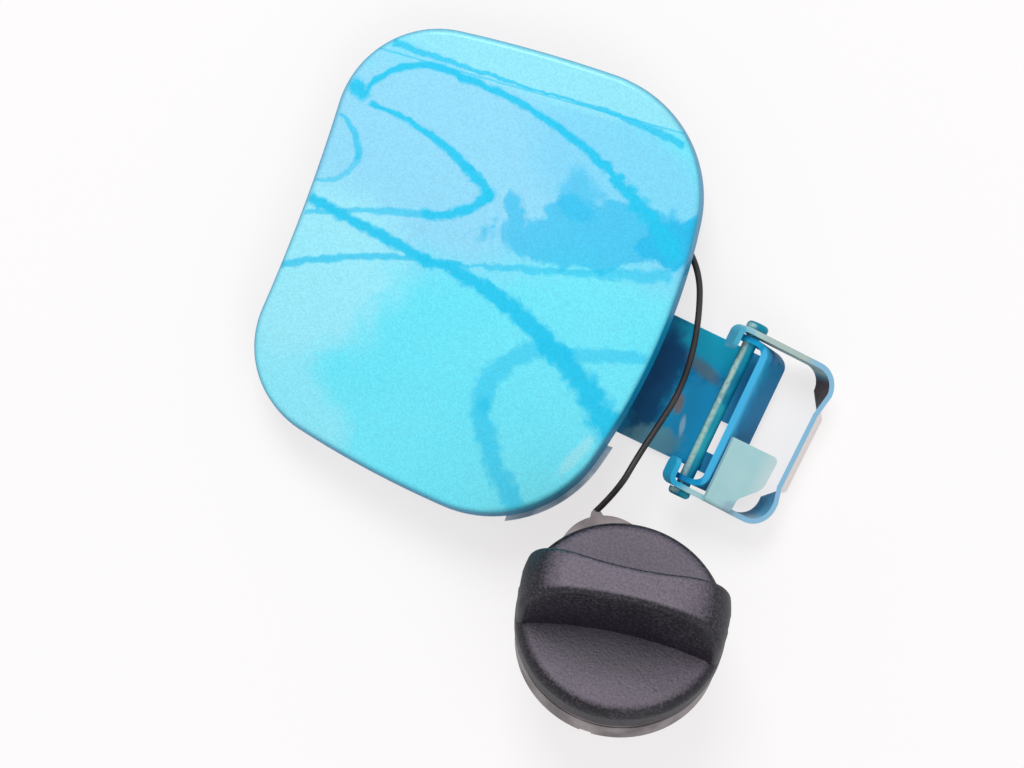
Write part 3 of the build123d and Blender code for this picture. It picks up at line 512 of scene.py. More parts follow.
@dataclass(frozen=True)
class ThinPaintOnSteel(Finish):
    """Body colour sprayed thinly over pressed steel, without polish.

    The eye sees a deep uneven blue that turns teal and pale where the spray was thin. On the arm,
    patches add rust and dirt spots, painted shadow and painted highlights; on the pin a painted
    highlight runs along one side.
    """

    deep: str = "#02588F"
    body: str = "#0692CA"
    thin: str = "#25AED4"
    patches: tuple[Patch, ...] = ()
    # Painted highlight: the next colour is laid on faces that point towards the key lamp.
    pale_tone: str = "#B9DACD"
    painted_highlight_share: float = 0.0
    painted_highlight_way: Way = (-0.66, 0.0, 0.75)  # side that faces the key lamp, where the highlight is painted
    painted_highlight_turn: Pair = (0.8, 0.99)  # how far a face has to point that way
    roughness: float = 0.42
    mottle: Clouds = Clouds(14.0, 5.0, 0.8)  # thick and thin spray
    deep_at: float = 0.3
    body_at: float = 0.52
    thin_at: float = 0.72
    speck: Clouds = Clouds(3.0, 4.0)  # edges of the patches
    highlight_breakup: Clouds = Clouds(1.6, 4.0)  # breaks in the painted highlight
    highlight_breakup_share: Fade = Fade(0.4, 0.55, 0.6, 1.0)
    grain: Clouds = Clouds(2.2)  # dry spray
    grain_depth_mm: float = 0.12
    grain_strength: float = 0.25

    def paint_highlight(self, tree: Tree, place: Socket, colour: Socket) -> Socket:
        """Paint a highlight along the side that faces the key lamp.

        Args:
            tree: Node tree of the material.
            place: Place in millimetres.
            colour: Colour of the paint.

        Returns:
            The new colour's socket.
        """
        normal = add_node(tree, "ShaderNodeTexCoord").outputs["Normal"]
        lit_side = Zone(self.painted_highlight_way, Fade(*self.painted_highlight_turn, 0.0, self.painted_highlight_share))
        highlight_breakup = add_node(tree, "ShaderNodeTexNoise", self.highlight_breakup.at(place)).outputs[0]
        broken = add_node(tree, "ShaderNodeMapRange", self.highlight_breakup_share.of(highlight_breakup)).outputs[0]
        share = add_node(
            tree, "ShaderNodeMath", {0: lit_side.share(tree, normal), 1: broken},
            operation="MULTIPLY",
        )
        return add_node(
            tree, "ShaderNodeMix",
            {"Factor": share.outputs[0], "A": colour, "B": linear(self.pale_tone)}, data_type="RGBA",
        ).outputs["Result"]

    def shade(self, tree: Tree) -> Socket:
        """Mix deep, body and thin colours in clouds and lay patches and a painted highlight over
        them.

        Args:
            tree: Node tree of the material.

        Returns:
            The shader's output socket.
        """
        place = millimetres(tree)
        mottle = add_node(tree, "ShaderNodeTexNoise", self.mottle.at(place)).outputs[0]
        tint = add_node(tree, "ShaderNodeValToRGB", {"Fac": mottle})
        tint.color_ramp.elements.new(self.body_at)
        stops = ((self.deep_at, self.deep), (self.body_at, self.body), (self.thin_at, self.thin))
        for element, (position, shade) in zip(tint.color_ramp.elements, stops):
            element.position = position
            element.color = linear(shade)
        speck = add_node(tree, "ShaderNodeTexNoise", self.speck.at(place)).outputs[0]
        colour = patched(tree, place, speck, self.patches, tint.outputs["Color"])
        # Painted highlight along the side that faces the key lamp.
        if self.painted_highlight_share:
            colour = self.paint_highlight(tree, place, colour)
        grain = add_node(tree, "ShaderNodeTexNoise", self.grain.at(place)).outputs[0]
        bump = add_node(
            tree, "ShaderNodeBump",
            {
                "Strength": self.grain_strength,
                "Distance": self.grain_depth_mm * MM,
                "Height": grain,
            },
        )
        return add_node(
            tree, "ShaderNodeBsdfPrincipled",
            {
                "Base Color": colour,
                "Roughness": self.roughness,
                "Specular IOR Level": 0.15,
                "Normal": bump.outputs[0],
            },
        ).outputs[0]


@dataclass(frozen=True)
class OversprayedZinc(Finish):
    """Zinc-plated strip steel with body colour overspray.

    The eye sees a flat grey-green plate, blue where the spray landed on the cut edges, dark
    brown on the inner faces past the far bend and a pale outer face.
    """

    plate: str = "#9ED0D6"
    pale_tone: str = "#B6DADD"
    spray: str = "#12ACDE"
    inside: str = "#5FA6CC"
    deeper_tone: str = "#54494A"
    outer: str = "#EFE5E3"
    patches: tuple[Patch, ...] = ()
    tilt_deg: float = 18.0  # lean of the bracket's base
    far_mm: Fade = Fade(84.0, 89.0)  # along X, where the leaning base starts
    tab_top_mm: Fade = Fade(43.2, 42.6)  # height of the tab, square to the base
    bend_mm: Fade = Fade(27.0, 30.0)  # along Y, where the far bend starts
    edge_turn: Fade = Fade(0.6, 0.9)  # how far a cut edge points up
    inner_turn: Fade = Fade(-0.4, -0.7)  # how far an inner face points back to the flap
    outer_turn: Fade = Fade(0.5, 0.8)  # how far an outer face points out
    bloom: Clouds = Clouds(7.0, 5.0)  # dull spots of the plating
    speck: Clouds = Clouds(4.0)  # edges of the patches
    grain: Clouds = Clouds(0.8, 3.0)
    grain_depth_mm: float = 0.05
    grain_strength: float = 0.2

    def shade(self, tree: Tree) -> Socket:
        """Colour the strip by which way each face points, with cloudy limits.

        Args:
            tree: Node tree of the material.

        Returns:
            The shader's output socket.
        """
        place = millimetres(tree)
        normal = add_node(tree, "ShaderNodeTexCoord").outputs["Normal"]
        bloom = add_node(tree, "ShaderNodeTexNoise", self.bloom.at(place)).outputs[0]
        colour = add_node(
            tree, "ShaderNodeMix",
            {"Factor": bloom, "A": linear(self.plate), "B": linear(self.pale_tone)}, data_type="RGBA",
        ).outputs["Result"]
        speck = add_node(tree, "ShaderNodeTexNoise", self.speck.at(place)).outputs[0]
        colour = patched(tree, place, speck, self.patches, colour)
        lean = math.radians(self.tilt_deg)
        square = (math.sin(lean), 0.0, math.cos(lean))
        outward = (math.cos(lean), 0.0, math.sin(lean))
        far = Zone(ALONG_X, self.far_mm).share(tree, place)
        tab = Zone(square, self.tab_top_mm).share(tree, place)
        bend = Zone(ALONG_Y, self.bend_mm).share(tree, place)
        edge = Zone(square, self.edge_turn).share(tree, normal)
        inner = Zone(outward, self.inner_turn).share(tree, normal)
        outer = Zone(outward, self.outer_turn).share(tree, normal)
        for coat, face, limits in (
            (self.spray, edge, (far, tab)),
            (self.inside, inner, (far,)),
            (self.deeper_tone, inner, (far, bend)),
            (self.outer, outer, (far,)),
        ):
            share = face
            for limit in limits:
                share = add_node(
                    tree, "ShaderNodeMath", {0: share, 1: limit}, operation="MULTIPLY"
                ).outputs[0]
            colour = add_node(
                tree, "ShaderNodeMix", {"Factor": share, "A": colour, "B": linear(coat)},
                data_type="RGBA",
            ).outputs["Result"]
        grain = add_node(tree, "ShaderNodeTexNoise", self.grain.at(place)).outputs[0]
        bump = add_node(
            tree, "ShaderNodeBump",
            {
                "Strength": self.grain_strength,
                "Distance": self.grain_depth_mm * MM,
                "Height": grain,
            },
        )
        return add_node(
            tree, "ShaderNodeBsdfPrincipled",
            {
                "Base Color": colour,
                "Roughness": 0.6,
                "Specular IOR Level": 0.2,
                "Normal": bump.outputs[0],
            },
        ).outputs[0]


@dataclass(frozen=True)
class MouldedPlastic(Finish):
    """Injection-moulded thermoplastic with a spark-eroded or plain surface.

    The eye sees a soft sheen broken up by a fine leathery grain, with dust in it. Where set,
    faces that point one way are lighter, partly dust and partly painted top light, and patches
    can paint shade.
    """

    base: str = "#2A2A30"
    dust: str = "#6B6468"
    dust_share: float = 0.25
    dust_and_top_light: float = 0.0  # share of dust and painted top light on faces that point the given way
    top_light_way: Way = UP
    top_light_turn: Pair = (0.78, 0.985)  # how far a face has to point that way
    film: Clouds = Clouds(11.0, 6.0)  # thin dust all over
    film_limits: Pair = (0.35, 0.75)  # noise values between which the dust grows
    grain_mm: float = 0.55
    grain_detail: float = 2.0
    grain_middle: float = 0.5
    grain_limits: Pair = (0.3, 0.7)  # noise values of pits and peaks
    grain_depth_mm: float = 0.05
    grain_contrast: float = 0.0  # how much more dust sits on the peaks than in the pits
    roughness: float = 0.42
    smoother: float = 0.06  # of the pits
    rougher: float = 0.08  # of the peaks
    patches: tuple[Patch, ...] = ()

    def dusting(self, tree: Tree, place: Socket, grain: Socket) -> Socket:
        """Find how much dust shows: an even film, dust with painted top light, and dust in the
        grain.

        Args:
            tree: Node tree of the material.
            place: Place in millimetres.
            grain: Noise of the grain.

        Returns:
            A value from 0 to 1.
        """
        film = add_node(tree, "ShaderNodeTexNoise", self.film.at(place)).outputs[0]
        thin = add_node(
            tree, "ShaderNodeMapRange", Fade(*self.film_limits, 0.0, self.dust_share).of(film)
        )
        normal = add_node(tree, "ShaderNodeTexCoord").outputs["Normal"]
        # Dust and painted top light on faces that point the given way.
        top_share = Zone(self.top_light_way, Fade(*self.top_light_turn, 0.0, self.dust_and_top_light))
        both = add_node(
            tree, "ShaderNodeMath", {0: thin.outputs[0], 1: top_share.share(tree, normal)},
            operation="ADD",
        )
        centred = add_node(
            tree, "ShaderNodeMath", {0: grain, 1: self.grain_middle}, operation="SUBTRACT"
        )
        return add_node(
            tree, "ShaderNodeMath",
            {0: centred.outputs[0], 1: self.grain_contrast, 2: both.outputs[0]},
            operation="MULTIPLY_ADD", use_clamp=True,
        ).outputs[0]

    def shade(self, tree: Tree) -> Socket:
        """Mix dust, with painted top light where set, into the base colour and raise the grain.

        Args:
            tree: Node tree of the material.

        Returns:
            The shader's output socket.
        """
        place = millimetres(tree)
        pattern = Clouds(self.grain_mm, self.grain_detail)
        grain = add_node(tree, "ShaderNodeTexNoise", pattern.at(place)).outputs[0]
        colour = add_node(
            tree, "ShaderNodeMix",
            {
                "Factor": self.dusting(tree, place, grain),
                "A": linear(self.base),
                "B": linear(self.dust),
            },
            data_type="RGBA",
        ).outputs["Result"]
        colour = patched(tree, place, grain, self.patches, colour)
        bump = add_node(
            tree, "ShaderNodeBump",
            {"Strength": 1.0, "Distance": self.grain_depth_mm * MM, "Height": grain},
        )
        sheen = Fade(
            *self.grain_limits, self.roughness - self.smoother, self.roughness + self.rougher
        )
        rough = add_node(tree, "ShaderNodeMapRange", sheen.of(grain))
        return add_node(
            tree, "ShaderNodeBsdfPrincipled",
            {
                "Base Color": colour,
                "Roughness": rough.outputs[0],
                "IOR": 1.5,
                "Specular IOR Level": 0.32,
                "Normal": bump.outputs[0],
            },
        ).outputs[0]


@dataclass(frozen=True)
class DrawnWire(Finish):
    """Cold-drawn stainless spring wire: the eye sees bright metal with fine uneven lines."""

    colour: str = "#B9BBBD"
    lines: Clouds = Clouds(0.4, 2.0)  # real lines are 0.05 mm apart, drawn coarser to show
    sheen: Fade = Fade(0.3, 0.7, 0.22, 0.38)

    def shade(self, tree: Tree) -> Socket:
        """Shade a slightly uneven bright metal.

        Args:
            tree: Node tree of the material.

        Returns:
            The shader's output socket.
        """
        lines = add_node(tree, "ShaderNodeTexNoise", self.lines.at(millimetres(tree)))
        rough = add_node(tree, "ShaderNodeMapRange", self.sheen.of(lines.outputs[0]))
        return add_node(
            tree, "ShaderNodeBsdfPrincipled",
            {"Base Color": linear(self.colour), "Metallic": 1.0, "Roughness": rough.outputs[0]},
        ).outputs[0]


@dataclass(frozen=True)
class MattPaper(Finish):
    """Matt white background paper: the eye sees plain white with only the soft shadow on it."""

    paper: str = "#FAFBFB"
    white: str = "#FFFCFC"
    white_strength: float = 1.03
    lift: float = 0.66  # share of plain white in what the camera sees

    def shade(self, tree: Tree) -> Socket:
        """Mix plain white into the paper for the camera alone.

        Args:
            tree: Node tree of the material.

        Returns:
            The shader's output socket.
        """
        paper = add_node(
            tree, "ShaderNodeBsdfDiffuse", {"Color": linear(self.paper), "Roughness": 0.6}
        )
        white = add_node(
            tree, "ShaderNodeEmission",
            {"Color": linear(self.white), "Strength": self.white_strength},
        )
        rays = add_node(tree, "ShaderNodeLightPath")
        share = add_node(
            tree, "ShaderNodeMix",
            {"Factor": rays.outputs["Is Camera Ray"], "A": 0.0, "B": self.lift},
        )
        return add_node(
            tree, "ShaderNodeMixShader",
            {0: share.outputs["Result"], 1: paper.outputs[0], 2: white.outputs[0]},
        ).outputs[0]


def dress(node: str, finish: Finish) -> None:
    """Give a node of the frame one finish.

    Args:
        node: Name of the node.
        finish: Finish that it gets.
    """
    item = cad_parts[node]
    made = finish.material()
    if not item.material_slots:
        item.data.materials.append(made)
    for slot in item.material_slots:
        slot.material = made
    LOG.info("%s dressed in %s", node, finish.name)


# --- Sub-assemblies -----------------------------------------------------------------------------
@dataclass
class FlapPanel:
    """Outer skin, inner panel, sealer, striker, stops and anchor of the flap.

    A patch is given by its centre, half size, colour, turn, strength, soft edge and raggedness,
    a painted reflection line by its start, middle and end, its width at both ends and its strength.
    """

    patches: tuple[Patch, ...] = (
        # Painted reflection: the pale patches stand for white light reflected in the clear coat,
        # the saturated blue ones for spots where that reflection breaks, and the small pale streak
        # at x 26 is a painted highlight.
        Patch((-62.0, 50.0), (62.0, 36.0), "#96DAFA", 12.0, 0.85, 0.3, 0.5),
        Patch((4.0, 66.0), (40.0, 22.0), "#80D8FB", -22.0, 0.8, 0.3, 0.5),
        Patch((-30.0, 101.0), (72.0, 17.0), "#94E8FA", 8.0, 0.9, 0.12, 0.15),
        Patch((-86.0, -4.0), (34.0, 30.0), "#A0EEFF", 55.0, 0.85, 0.25, 0.7),
        Patch((-72.0, -44.0), (30.0, 12.0), "#98EDFE", -28.0, 0.7, 0.35, 0.9),
        Patch((3.0, 50.0), (36.0, 12.0), "#1FC4F3", 24.0, 0.75, 0.12, 1.8),
        Patch((-10.0, 57.0), (6.5, 9.0), "#1FC4F3", 20.0, 0.6, 0.3, 2.0),
        Patch((24.0, 57.0), (12.0, 8.0), "#10BFF1", 28.0, 0.85, 0.12, 1.8),
        Patch((26.0, -22.0), (2.2, 9.0), "#B4F0FC", -17.0, 0.5, 0.4, 0.8),
    )
    reflection_lines: tuple[PaintedReflectionLine, ...] = (
        # Painted reflection: curved lines where the reflected white light breaks and a deeper tone
        # shows.
        PaintedReflectionLine((-95.6, 75.5), (-35.6, 84.5), (12.9, 92.6), (0.7, 0.7), 0.6),
        PaintedReflectionLine((-90.8, 79.6), (-64.5, 82.0), (-35.8, 85.1), (2.6, 0.7), 0.84),
        PaintedReflectionLine((-35.8, 85.1), (-9.6, 88.6), (13.6, 88.8), (0.7, 3.0), 0.84),
        PaintedReflectionLine((-92.4, 61.6), (-83.5, 73.7), (-64.9, 78.1), (2.1, 2.6), 0.96),
        PaintedReflectionLine((-64.9, 78.1), (-32.0, 77.2), (-8.6, 71.4), (2.6, 2.8), 0.96),
        PaintedReflectionLine((-8.6, 71.4), (9.7, 63.9), (27.6, 54.0), (3.0, 7.4), 0.96),
        PaintedReflectionLine((-97.5, 61.4), (-94.5, 59.8), (-92.0, 58.4), (5.3, 5.3), 0.96),
        PaintedReflectionLine((-88.8, 57.2), (-69.2, 56.4), (-47.9, 50.4), (1.6, 3.4), 0.96),
        PaintedReflectionLine((-49.4, 50.9), (-42.6, 48.0), (-37.5, 45.2), (3.4, 4.1), 0.96),
        PaintedReflectionLine((-37.8, 45.8), (-44.3, 36.7), (-55.6, 30.2), (3.8, 3.3), 0.96),
        PaintedReflectionLine((-55.6, 30.2), (-70.3, 24.7), (-92.8, 13.5), (2.5, 1.6), 0.72),
        PaintedReflectionLine((-96.4, 49.5), (-88.1, 44.0), (-84.7, 38.5), (1.6, 2.8), 0.78),
        PaintedReflectionLine((-84.7, 38.5), (-87.0, 30.6), (-94.3, 25.3), (2.8, 1.3), 0.6),
        PaintedReflectionLine((-93.5, 18.9), (-73.0, 17.7), (-49.0, 16.4), (3.8, 3.4), 0.96),
        PaintedReflectionLine((-49.0, 16.4), (-25.9, 16.1), (0.7, 8.5), (3.6, 7.0), 0.96),
        PaintedReflectionLine((0.7, 8.5), (16.9, 1.5), (33.2, -9.2), (7.4, 9.8), 0.96),
        PaintedReflectionLine((-92.6, -5.9), (-64.5, 10.1), (-37.2, 20.1), (2.6, 1.6), 0.78),
        PaintedReflectionLine((-37.2, 20.1), (0.1, 34.2), (28.5, 46.5), (1.3, 4.9), 0.66),
        PaintedReflectionLine((33.1, 17.9), (19.2, 12.4), (8.0, 7.4), (3.7, 4.5), 0.6),
        PaintedReflectionLine((8.0, 7.4), (-8.1, -2.9), (-10.6, -19.9), (4.5, 7.4), 0.6),
        PaintedReflectionLine((-10.6, -19.9), (-0.8, -32.6), (14.9, -45.8), (7.4, 6.6), 0.66),
    )

    def build(self) -> None:
        """Dress the panel's pieces."""
        paint = MetallicClearcoat(
            "metallic_base_coat_clear_coated", patches=self.patches, reflection_lines=self.reflection_lines
        )
        sealer = ThinPaintOnSteel(
            "painted_seam_sealer", deep="#7F97AE", body="#BFCCDA", thin="#EAEDF2", roughness=0.6
        )
        dress("outer_skin", paint)
        dress("inner_panel", ThinPaintOnSteel("thin_paint_on_pressed_panel"))
        dress("hem_sealer", sealer)
        dress("latch_striker", ThinPaintOnSteel("thin_paint_on_striker"))
        dress("bump_stops", MouldedPlastic("moulded_stop_rubber", base="#1B1B1C", roughness=0.7))
        dress("tether_anchor", MouldedPlastic("moulded_anchor_polypropylene", base="#232224"))


@dataclass
class HingeSet:
    """Stamped arm, pin and bracket, with patches given as on the flap."""

    arm_spots_and_painted_light: tuple[Patch, ...] = (
        # Painted shadow and painted highlights among the patches: the deep navy one at x 43 is
        # painted shadow of the flap, the deep blue strip at x 80 is painted shade on the arm's end
        # wall, the teal one at y 33 and the bright blue one at y 8 are painted highlights on the
        # pressed channel; the brown one at x 51.7 is rust.
        Patch((43.0, 16.0), (7.0, 30.0), "#034A7A", 0.0, 0.9, 0.4, 0.6),
        Patch((57.0, 33.0), (16.0, 7.0), "#16B6D6", -12.0, 0.9, 0.4, 0.7),
        Patch((59.0, 8.0), (10.0, 17.0), "#22AEE2", 0.0, 0.85, 0.4, 0.9),
        Patch((80.0, 14.0), (6.5, 34.0), "#027CB0", 0.0, 0.95, 0.2, 0.2),
        Patch((70.0, 14.5), (2.0, 29.0), "#48B8EA", 0.0, 0.9, 0.2, 0.15),
        Patch((55.0, 24.5), (7.0, 2.4), "#6B7F88", -15.0, 0.75, 0.5, 0.9),
        Patch((51.7, 10.2), (2.2, 3.4), "#8E7F78", 20.0, 0.9, 0.4, 1.2),
        Patch((49.0, -6.0), (10.0, 5.5), "#6FA9B8", 20.0, 0.85, 0.3, 1.1),
        Patch((56.6, 3.4), (0.9, 3.4), "#A8DDF4", 12.0, 0.9, 0.5, 0.6),
    )
    bracket_patches: tuple[Patch, ...] = (
        Patch((80.0, 42.4), (15.0, 3.0), "#B2C4BE", 0.0, 0.9, 0.3, 0.4),
        Patch((57.0, -13.0), (8.0, 7.0), "#00ACDC", 0.0, 0.95, 0.3, 0.8),
        Patch((57.0, 38.5), (8.0, 5.0), "#34A9CC", 0.0, 0.9, 0.3, 0.8),
        Patch((88.0, -16.0), (9.0, 4.0), "#8FB0C2", 0.0, 0.8, 0.3, 0.6),
    )

    def build(self) -> None:
        """Dress the hinge's pieces."""
        # The pin's pale side is a painted highlight towards the key lamp.
        pin = ThinPaintOnSteel(
            "thin_paint_on_turned_pin", deep="#036888", body="#0986A6", thin="#23A0B2",
            painted_highlight_share=0.95, roughness=0.3,
        )
        # The arm's patches hold rust, painted shadow and painted highlights.
        dress("hinge_arm", ThinPaintOnSteel("thin_paint_on_stamped_arm", patches=self.arm_spots_and_painted_light))
        dress("hinge_pin", pin)
        dress(
            "hinge_bracket", OversprayedZinc("oversprayed_zinc_strip", patches=self.bracket_patches)
        )


@dataclass
class Tether:
    """Moulded tether that runs free from the anchor to the collar."""

    diameter: float = 2.2 * MM
    length: float = 117.7 * MM
    route_mm: tuple[Way, ...] = (
        (17.42, 63.55, 18.07),
        (28.1, 61.4, 17.6),
        (38.3, 52.9, 17.2),
        (43.9, 40.9, 17.0),
        (48.0, 26.9, 17.0),
        (49.5, 12.4, 17.3),
        (47.7, -0.6, 18.5),
        (45.8, -13.1, 20.6),
        (44.5, -26.3, 23.5),
        (41.08, -36.51, 16.9),
    )
    curve_order: int = 3
    steps_per_span: int = 16
    section_steps: int = 5

    def line(self) -> bpy.types.Object:
        """Make the tether as one smooth open curve with a round section.

        Returns:
            The new piece.
        """
        curve = bpy.data.curves.new("tether_line", "CURVE")
        curve.dimensions = "3D"
        curve.bevel_depth = self.diameter / 2
        curve.bevel_resolution = self.section_steps
        curve.resolution_u = self.steps_per_span
        curve.use_fill_caps = True
        spline = curve.splines.new("NURBS")
        spline.points.add(len(self.route_mm) - 1)
        for point, place in zip(spline.points, self.route_mm):
            point.co = (*(Vector(place) * MM), 1.0)
        spline.order_u = self.curve_order
        spline.use_endpoint_u = True
        return add_object("tether_line", curve)

    def build(self) -> None:
        piece = self.line()
        line_finish = MouldedPlastic(
            "moulded_tether_polyester", base="#242225", dust="#5C5350", dust_share=0.35,
            grain_mm=0.8, grain_depth_mm=0.02, roughness=0.38,
        )
        collar_finish = MouldedPlastic(
            "dusty_collar_polypropylene", base="#84797B", dust="#C2B6B5", dust_share=0.9,
            grain_mm=0.6, roughness=0.65,
        )
        piece.data.materials.append(line_finish.material())
        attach(piece, Body.FLAP.value)
        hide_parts("tether_cord")
        LOG.info("tether_line made")
        dress("tether_collar", collar_finish)


@dataclass
class ValveSpring:
    """Coil spring of a cap valve, wound at one length.

    Heights are along the cap's axis from the plug's lower end.
    """

    name: str
    node: str
    slot: str
    body: Body
    joint: str
    held: SpringEnd  # end that stays put
    radius_mm: float
    wire_mm: float
    low_mm: float
    high_mm: float
    travel_mm: float
    turns: float = 4.0
    steps_per_turn: int = 40
    wire_sides: int = 12

    @property
    def held_mm(self) -> float:
        """Height of the end that stays put."""
        return self.high_mm if self.held is SpringEnd.UPPER else self.low_mm

    def centre_line(self, axis: Vector, foot: Vector) -> list[tuple[Vector, Vector]]:
        """Follow the middle of the wire.

        Args:
            axis: Cap axis.
            foot: Where the axis leaves the plug's lower end, in metres.

        Returns:
            Points in metres, each with its way out from the axis.
        """
        across = axis.orthogonal().normalized()
        beside = axis.cross(across)
        steps = round(self.turns * self.steps_per_turn)
        rise = self.high_mm - self.low_mm - self.wire_mm
        points = []
        for step in range(steps + 1):
            turn = 2 * math.pi * self.turns * step / steps
            out = math.cos(turn) * across + math.sin(turn) * beside
            height = self.low_mm + self.wire_mm / 2 + rise * step / steps
            points.append((foot + (self.radius_mm * out + height * axis) * MM, out))
        return points

    def wind(self, axis: Vector, foot: Vector) -> bpy.types.Mesh:
        """Wind the wire into a closed mesh with a round section.

        Args:
            axis: Cap axis.
            foot: Where the axis leaves the plug's lower end, in metres.

        Returns:
            The new mesh.
        """
        mesh = bmesh.new()
        rings = []
        for point, out in self.centre_line(axis, foot):
            ring = []
            for side in range(self.wire_sides):
                angle = 2 * math.pi * side / self.wire_sides
                offset = math.cos(angle) * out + math.sin(angle) * axis
                ring.append(mesh.verts.new(point + self.wire_mm / 2 * MM * offset))
            rings.append(ring)
        for ring, following in zip(rings, rings[1:]):
            for side in range(self.wire_sides):
                after = (side + 1) % self.wire_sides
                face = mesh.faces.new((ring[side], following[side], following[after], ring[after]))
                face.smooth = True
        mesh.faces.new(rings[0])
        mesh.faces.new(reversed(rings[-1]))
        bmesh.ops.recalc_face_normals(mesh, faces=mesh.faces)
        data = bpy.data.meshes.new(self.name)
        mesh.to_mesh(data)
        mesh.free()
        return data

    def build(self, axis: Vector, foot: Vector) -> None:
        """Wind the spring, dress it and attach it to its body.

        Args:
            axis: Cap axis.
            foot: Where the axis leaves the plug's lower end, in metres.
        """
        data = self.wind(axis, foot)
        data.materials.append(DrawnWire(f"drawn_{self.node}_wire").material())
        piece = add_object(self.name, data)
        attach(piece, self.body.value)
        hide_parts(self.node)
        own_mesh(piece)
        LOG.info("%s made", self.name)


@dataclass
class ScrewCap:
    """Grip, skirt ring, ratchet, plug and valves of the cap."""

    axis: Way = (-0.181904, 0.468977, 0.864275)
    foot: Way = (0.0695, -0.0826, 0.01006)
    grip_painted_shade: tuple[Patch, ...] = (
        # Painted shade: a dark patch on the recess floor next to the bar, where the bar shades it.
        Patch((58.5, -72.0), (31.0, 9.5), "#211E29", 11.5, 0.6, 0.65, 0.3),
    )
    inner_finishes: tuple[tuple[str, MouldedPlastic], ...] = (
        ("ratchet_ring", MouldedPlastic("natural_ratchet_acetal", "#D9D6CB", dust_share=0.1)),
        ("plug_body", MouldedPlastic("moulded_plug_polyamide", "#222225", dust_share=0.2)),
        ("neck_gasket", MouldedPlastic("moulded_nitrile_gasket", "#161617", dust_share=0.1)),
        ("valve_housing", MouldedPlastic("natural_housing_acetal", "#D2CFC4", dust_share=0.1)),
        ("valve_seal", MouldedPlastic("moulded_fluorocarbon_seal", "#5A2A1C", dust_share=0.1)),
        ("pressure_plate", MouldedPlastic("natural_plate_acetal", "#D2CFC4", dust_share=0.1)),
        ("vacuum_valve", MouldedPlastic("natural_valve_acetal", "#D2CFC4", dust_share=0.1)),
        ("valve_guard", MouldedPlastic("moulded_guard_polyamide", "#222225", dust_share=0.2)),
    )
    springs: tuple[ValveSpring, ...] = (
        ValveSpring(
            "pressure_coil", "pressure_spring", "spring_steel", Body.PLUG, "pressure_lift",
            SpringEnd.UPPER, radius_mm=9.4, wire_mm=1.2, low_mm=10.7, high_mm=23.95, travel_mm=2.0,
        ),
        ValveSpring(
            "vacuum_coil", "vacuum_spring", "small_spring_steel", Body.PRESSURE_VALVE,
            "vacuum_drop", SpringEnd.LOWER, radius_mm=3.3, wire_mm=0.7, low_mm=10.7, high_mm=15.7,
            travel_mm=1.5,
        ),
    )

    def build(self) -> None:
        """Dress the cap's pieces and wind its springs."""
        # The grip's lighter tops are partly dust and partly painted top light.
        grip = MouldedPlastic(
            "grained_grip_polyamide", base="#0B0812", dust="#786F7D", dust_share=0.12, dust_and_top_light=0.7,
            top_light_way=self.axis, grain_mm=0.8, grain_depth_mm=0.2, grain_contrast=1.1,
            # the patches paint shade next to the bar
            roughness=0.45, patches=self.grip_painted_shade,
        )
        skirt = MouldedPlastic(
            "dusty_skirt_polyamide", base="#6B6265", dust="#ABA0A1", dust_share=0.9, roughness=0.55
        )
        for node, finish in (("cap_grip", grip), ("cap_skirt_ring", skirt), *self.inner_finishes):
            dress(node, finish)
        for spring in self.springs:
            spring.build(Vector(self.axis), Vector(self.foot))


# --- Studio -------------------------------------------------------------------------------------
@dataclass(frozen=True)
class SoftLamp:
    """Square soft lamp that points at the part."""

    name: str
    place: Way
    size: float
    watts: float

    def hang(self) -> None:
        """Hang the lamp in the scene."""
        lamp = bpy.data.lights.new(self.name, "AREA")
        lamp.size = self.size
        lamp.energy = self.watts
        item = add_object(self.name, lamp)
        item.location = self.place
        item.rotation_mode = "QUATERNION"
        item.rotation_quaternion = (-Vector(self.place)).to_track_quat("-Z", "Y")


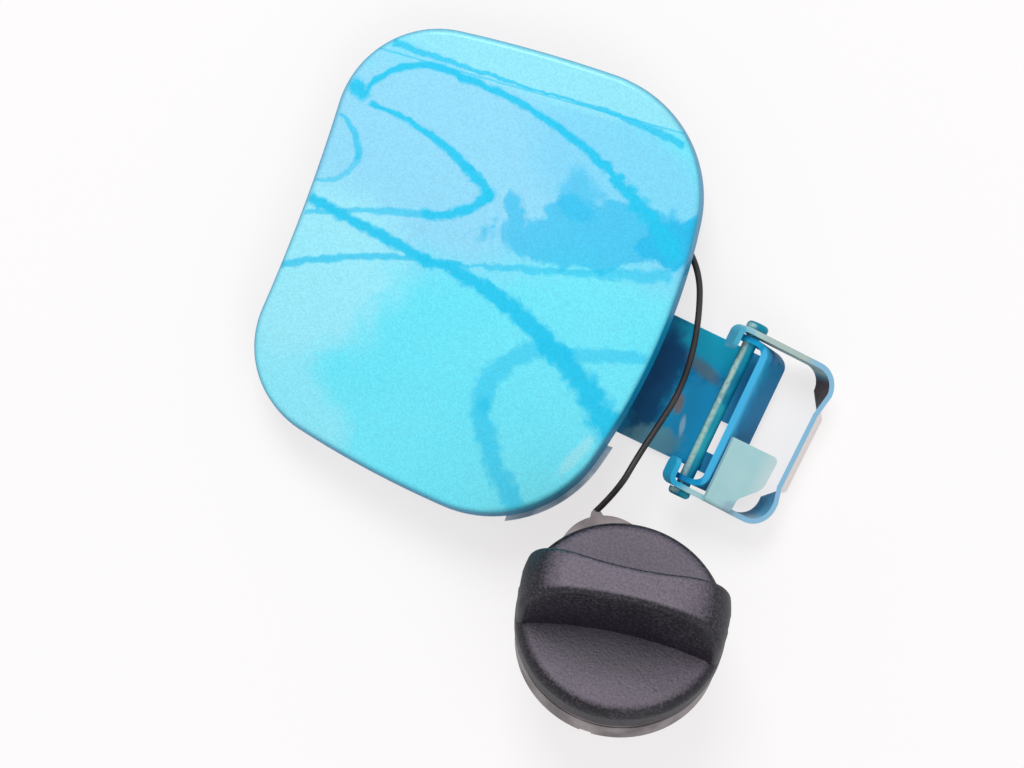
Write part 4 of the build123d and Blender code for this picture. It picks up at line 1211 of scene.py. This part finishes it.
@dataclass
class Studio:
    """Plain pale floor, soft light and the camera."""

    floor_half: float = 3.0
    lamps: tuple[SoftLamp, ...] = (
        SoftLamp("key_lamp", (-0.8, 1.2, 1.75), size=0.9, watts=21.5),
        SoftLamp("fill_lamp", (1.2, -0.9, 1.5), size=1.2, watts=7.0),
    )
    sky: str = "#FFFFFF"
    sky_light: float = 0.55  # strength that lights the part
    sky_white: float = 1.0  # strength that the camera, gloss and glass see
    camera_place: Way = (-0.0037, -0.0091, 0.7047)
    camera_turn_deg: float = 25.5
    camera_lens_mm: float = 70.31
    camera_sensor_mm: float = 36.0

    def lay_floor(self) -> None:
        """Lay the floor, whose colour the camera sees as white outside the shadows."""
        mesh = bmesh.new()
        bmesh.ops.create_grid(mesh, x_segments=1, y_segments=1, size=self.floor_half)
        data = bpy.data.meshes.new("floor")
        mesh.to_mesh(data)
        mesh.free()
        data.materials.append(MattPaper("matt_white_paper").material())
        add_object("floor", data)

    def set_sky(self) -> None:
        """Set the plain world, which looks white to the camera, to gloss and through glass."""
        world = bpy.data.worlds.new("plain_world")
        world.use_nodes = True
        tree = world.node_tree
        tree.nodes.clear()
        rays = add_node(tree, "ShaderNodeLightPath")
        seen = rays.outputs["Is Camera Ray"]
        for kind in ("Is Glossy Ray", "Is Transmission Ray"):
            seen = add_node(
                tree, "ShaderNodeMath", {0: seen, 1: rays.outputs[kind]}, operation="MAXIMUM"
            ).outputs[0]
        strength = add_node(
            tree, "ShaderNodeMix", {"Factor": seen, "A": self.sky_light, "B": self.sky_white}
        )
        sky = add_node(
            tree, "ShaderNodeBackground",
            {"Color": linear(self.sky), "Strength": strength.outputs["Result"]},
        )
        add_node(tree, "ShaderNodeOutputWorld", {"Surface": sky.outputs[0]})
        bpy.context.scene.world = world

    def place_camera(self) -> None:
        """Place the camera above the part, looking straight down."""
        data = bpy.data.cameras.new("camera")
        data.lens = self.camera_lens_mm
        data.sensor_width = self.camera_sensor_mm
        item = add_object("camera", data)
        item.location = self.camera_place
        item.rotation_euler = (0.0, 0.0, math.radians(self.camera_turn_deg))
        bpy.context.scene.camera = item

    def build(self) -> None:
        """Set up the floor, the light and the camera."""
        self.lay_floor()
        for lamp in self.lamps:
            lamp.hang()
        self.set_sky()
        self.place_camera()
        bpy.context.scene.view_settings.view_transform = "Standard"
        LOG.info("studio set up")


def main() -> None:
    """Build the sub-assemblies in order."""
    logging.basicConfig(level=logging.INFO, format="%(name)s: %(message)s")
    for assembly in (Studio(), Tether(), FlapPanel(), HingeSet(), ScrewCap()):
        assembly.build()


if __name__ == "__main__":
    main()
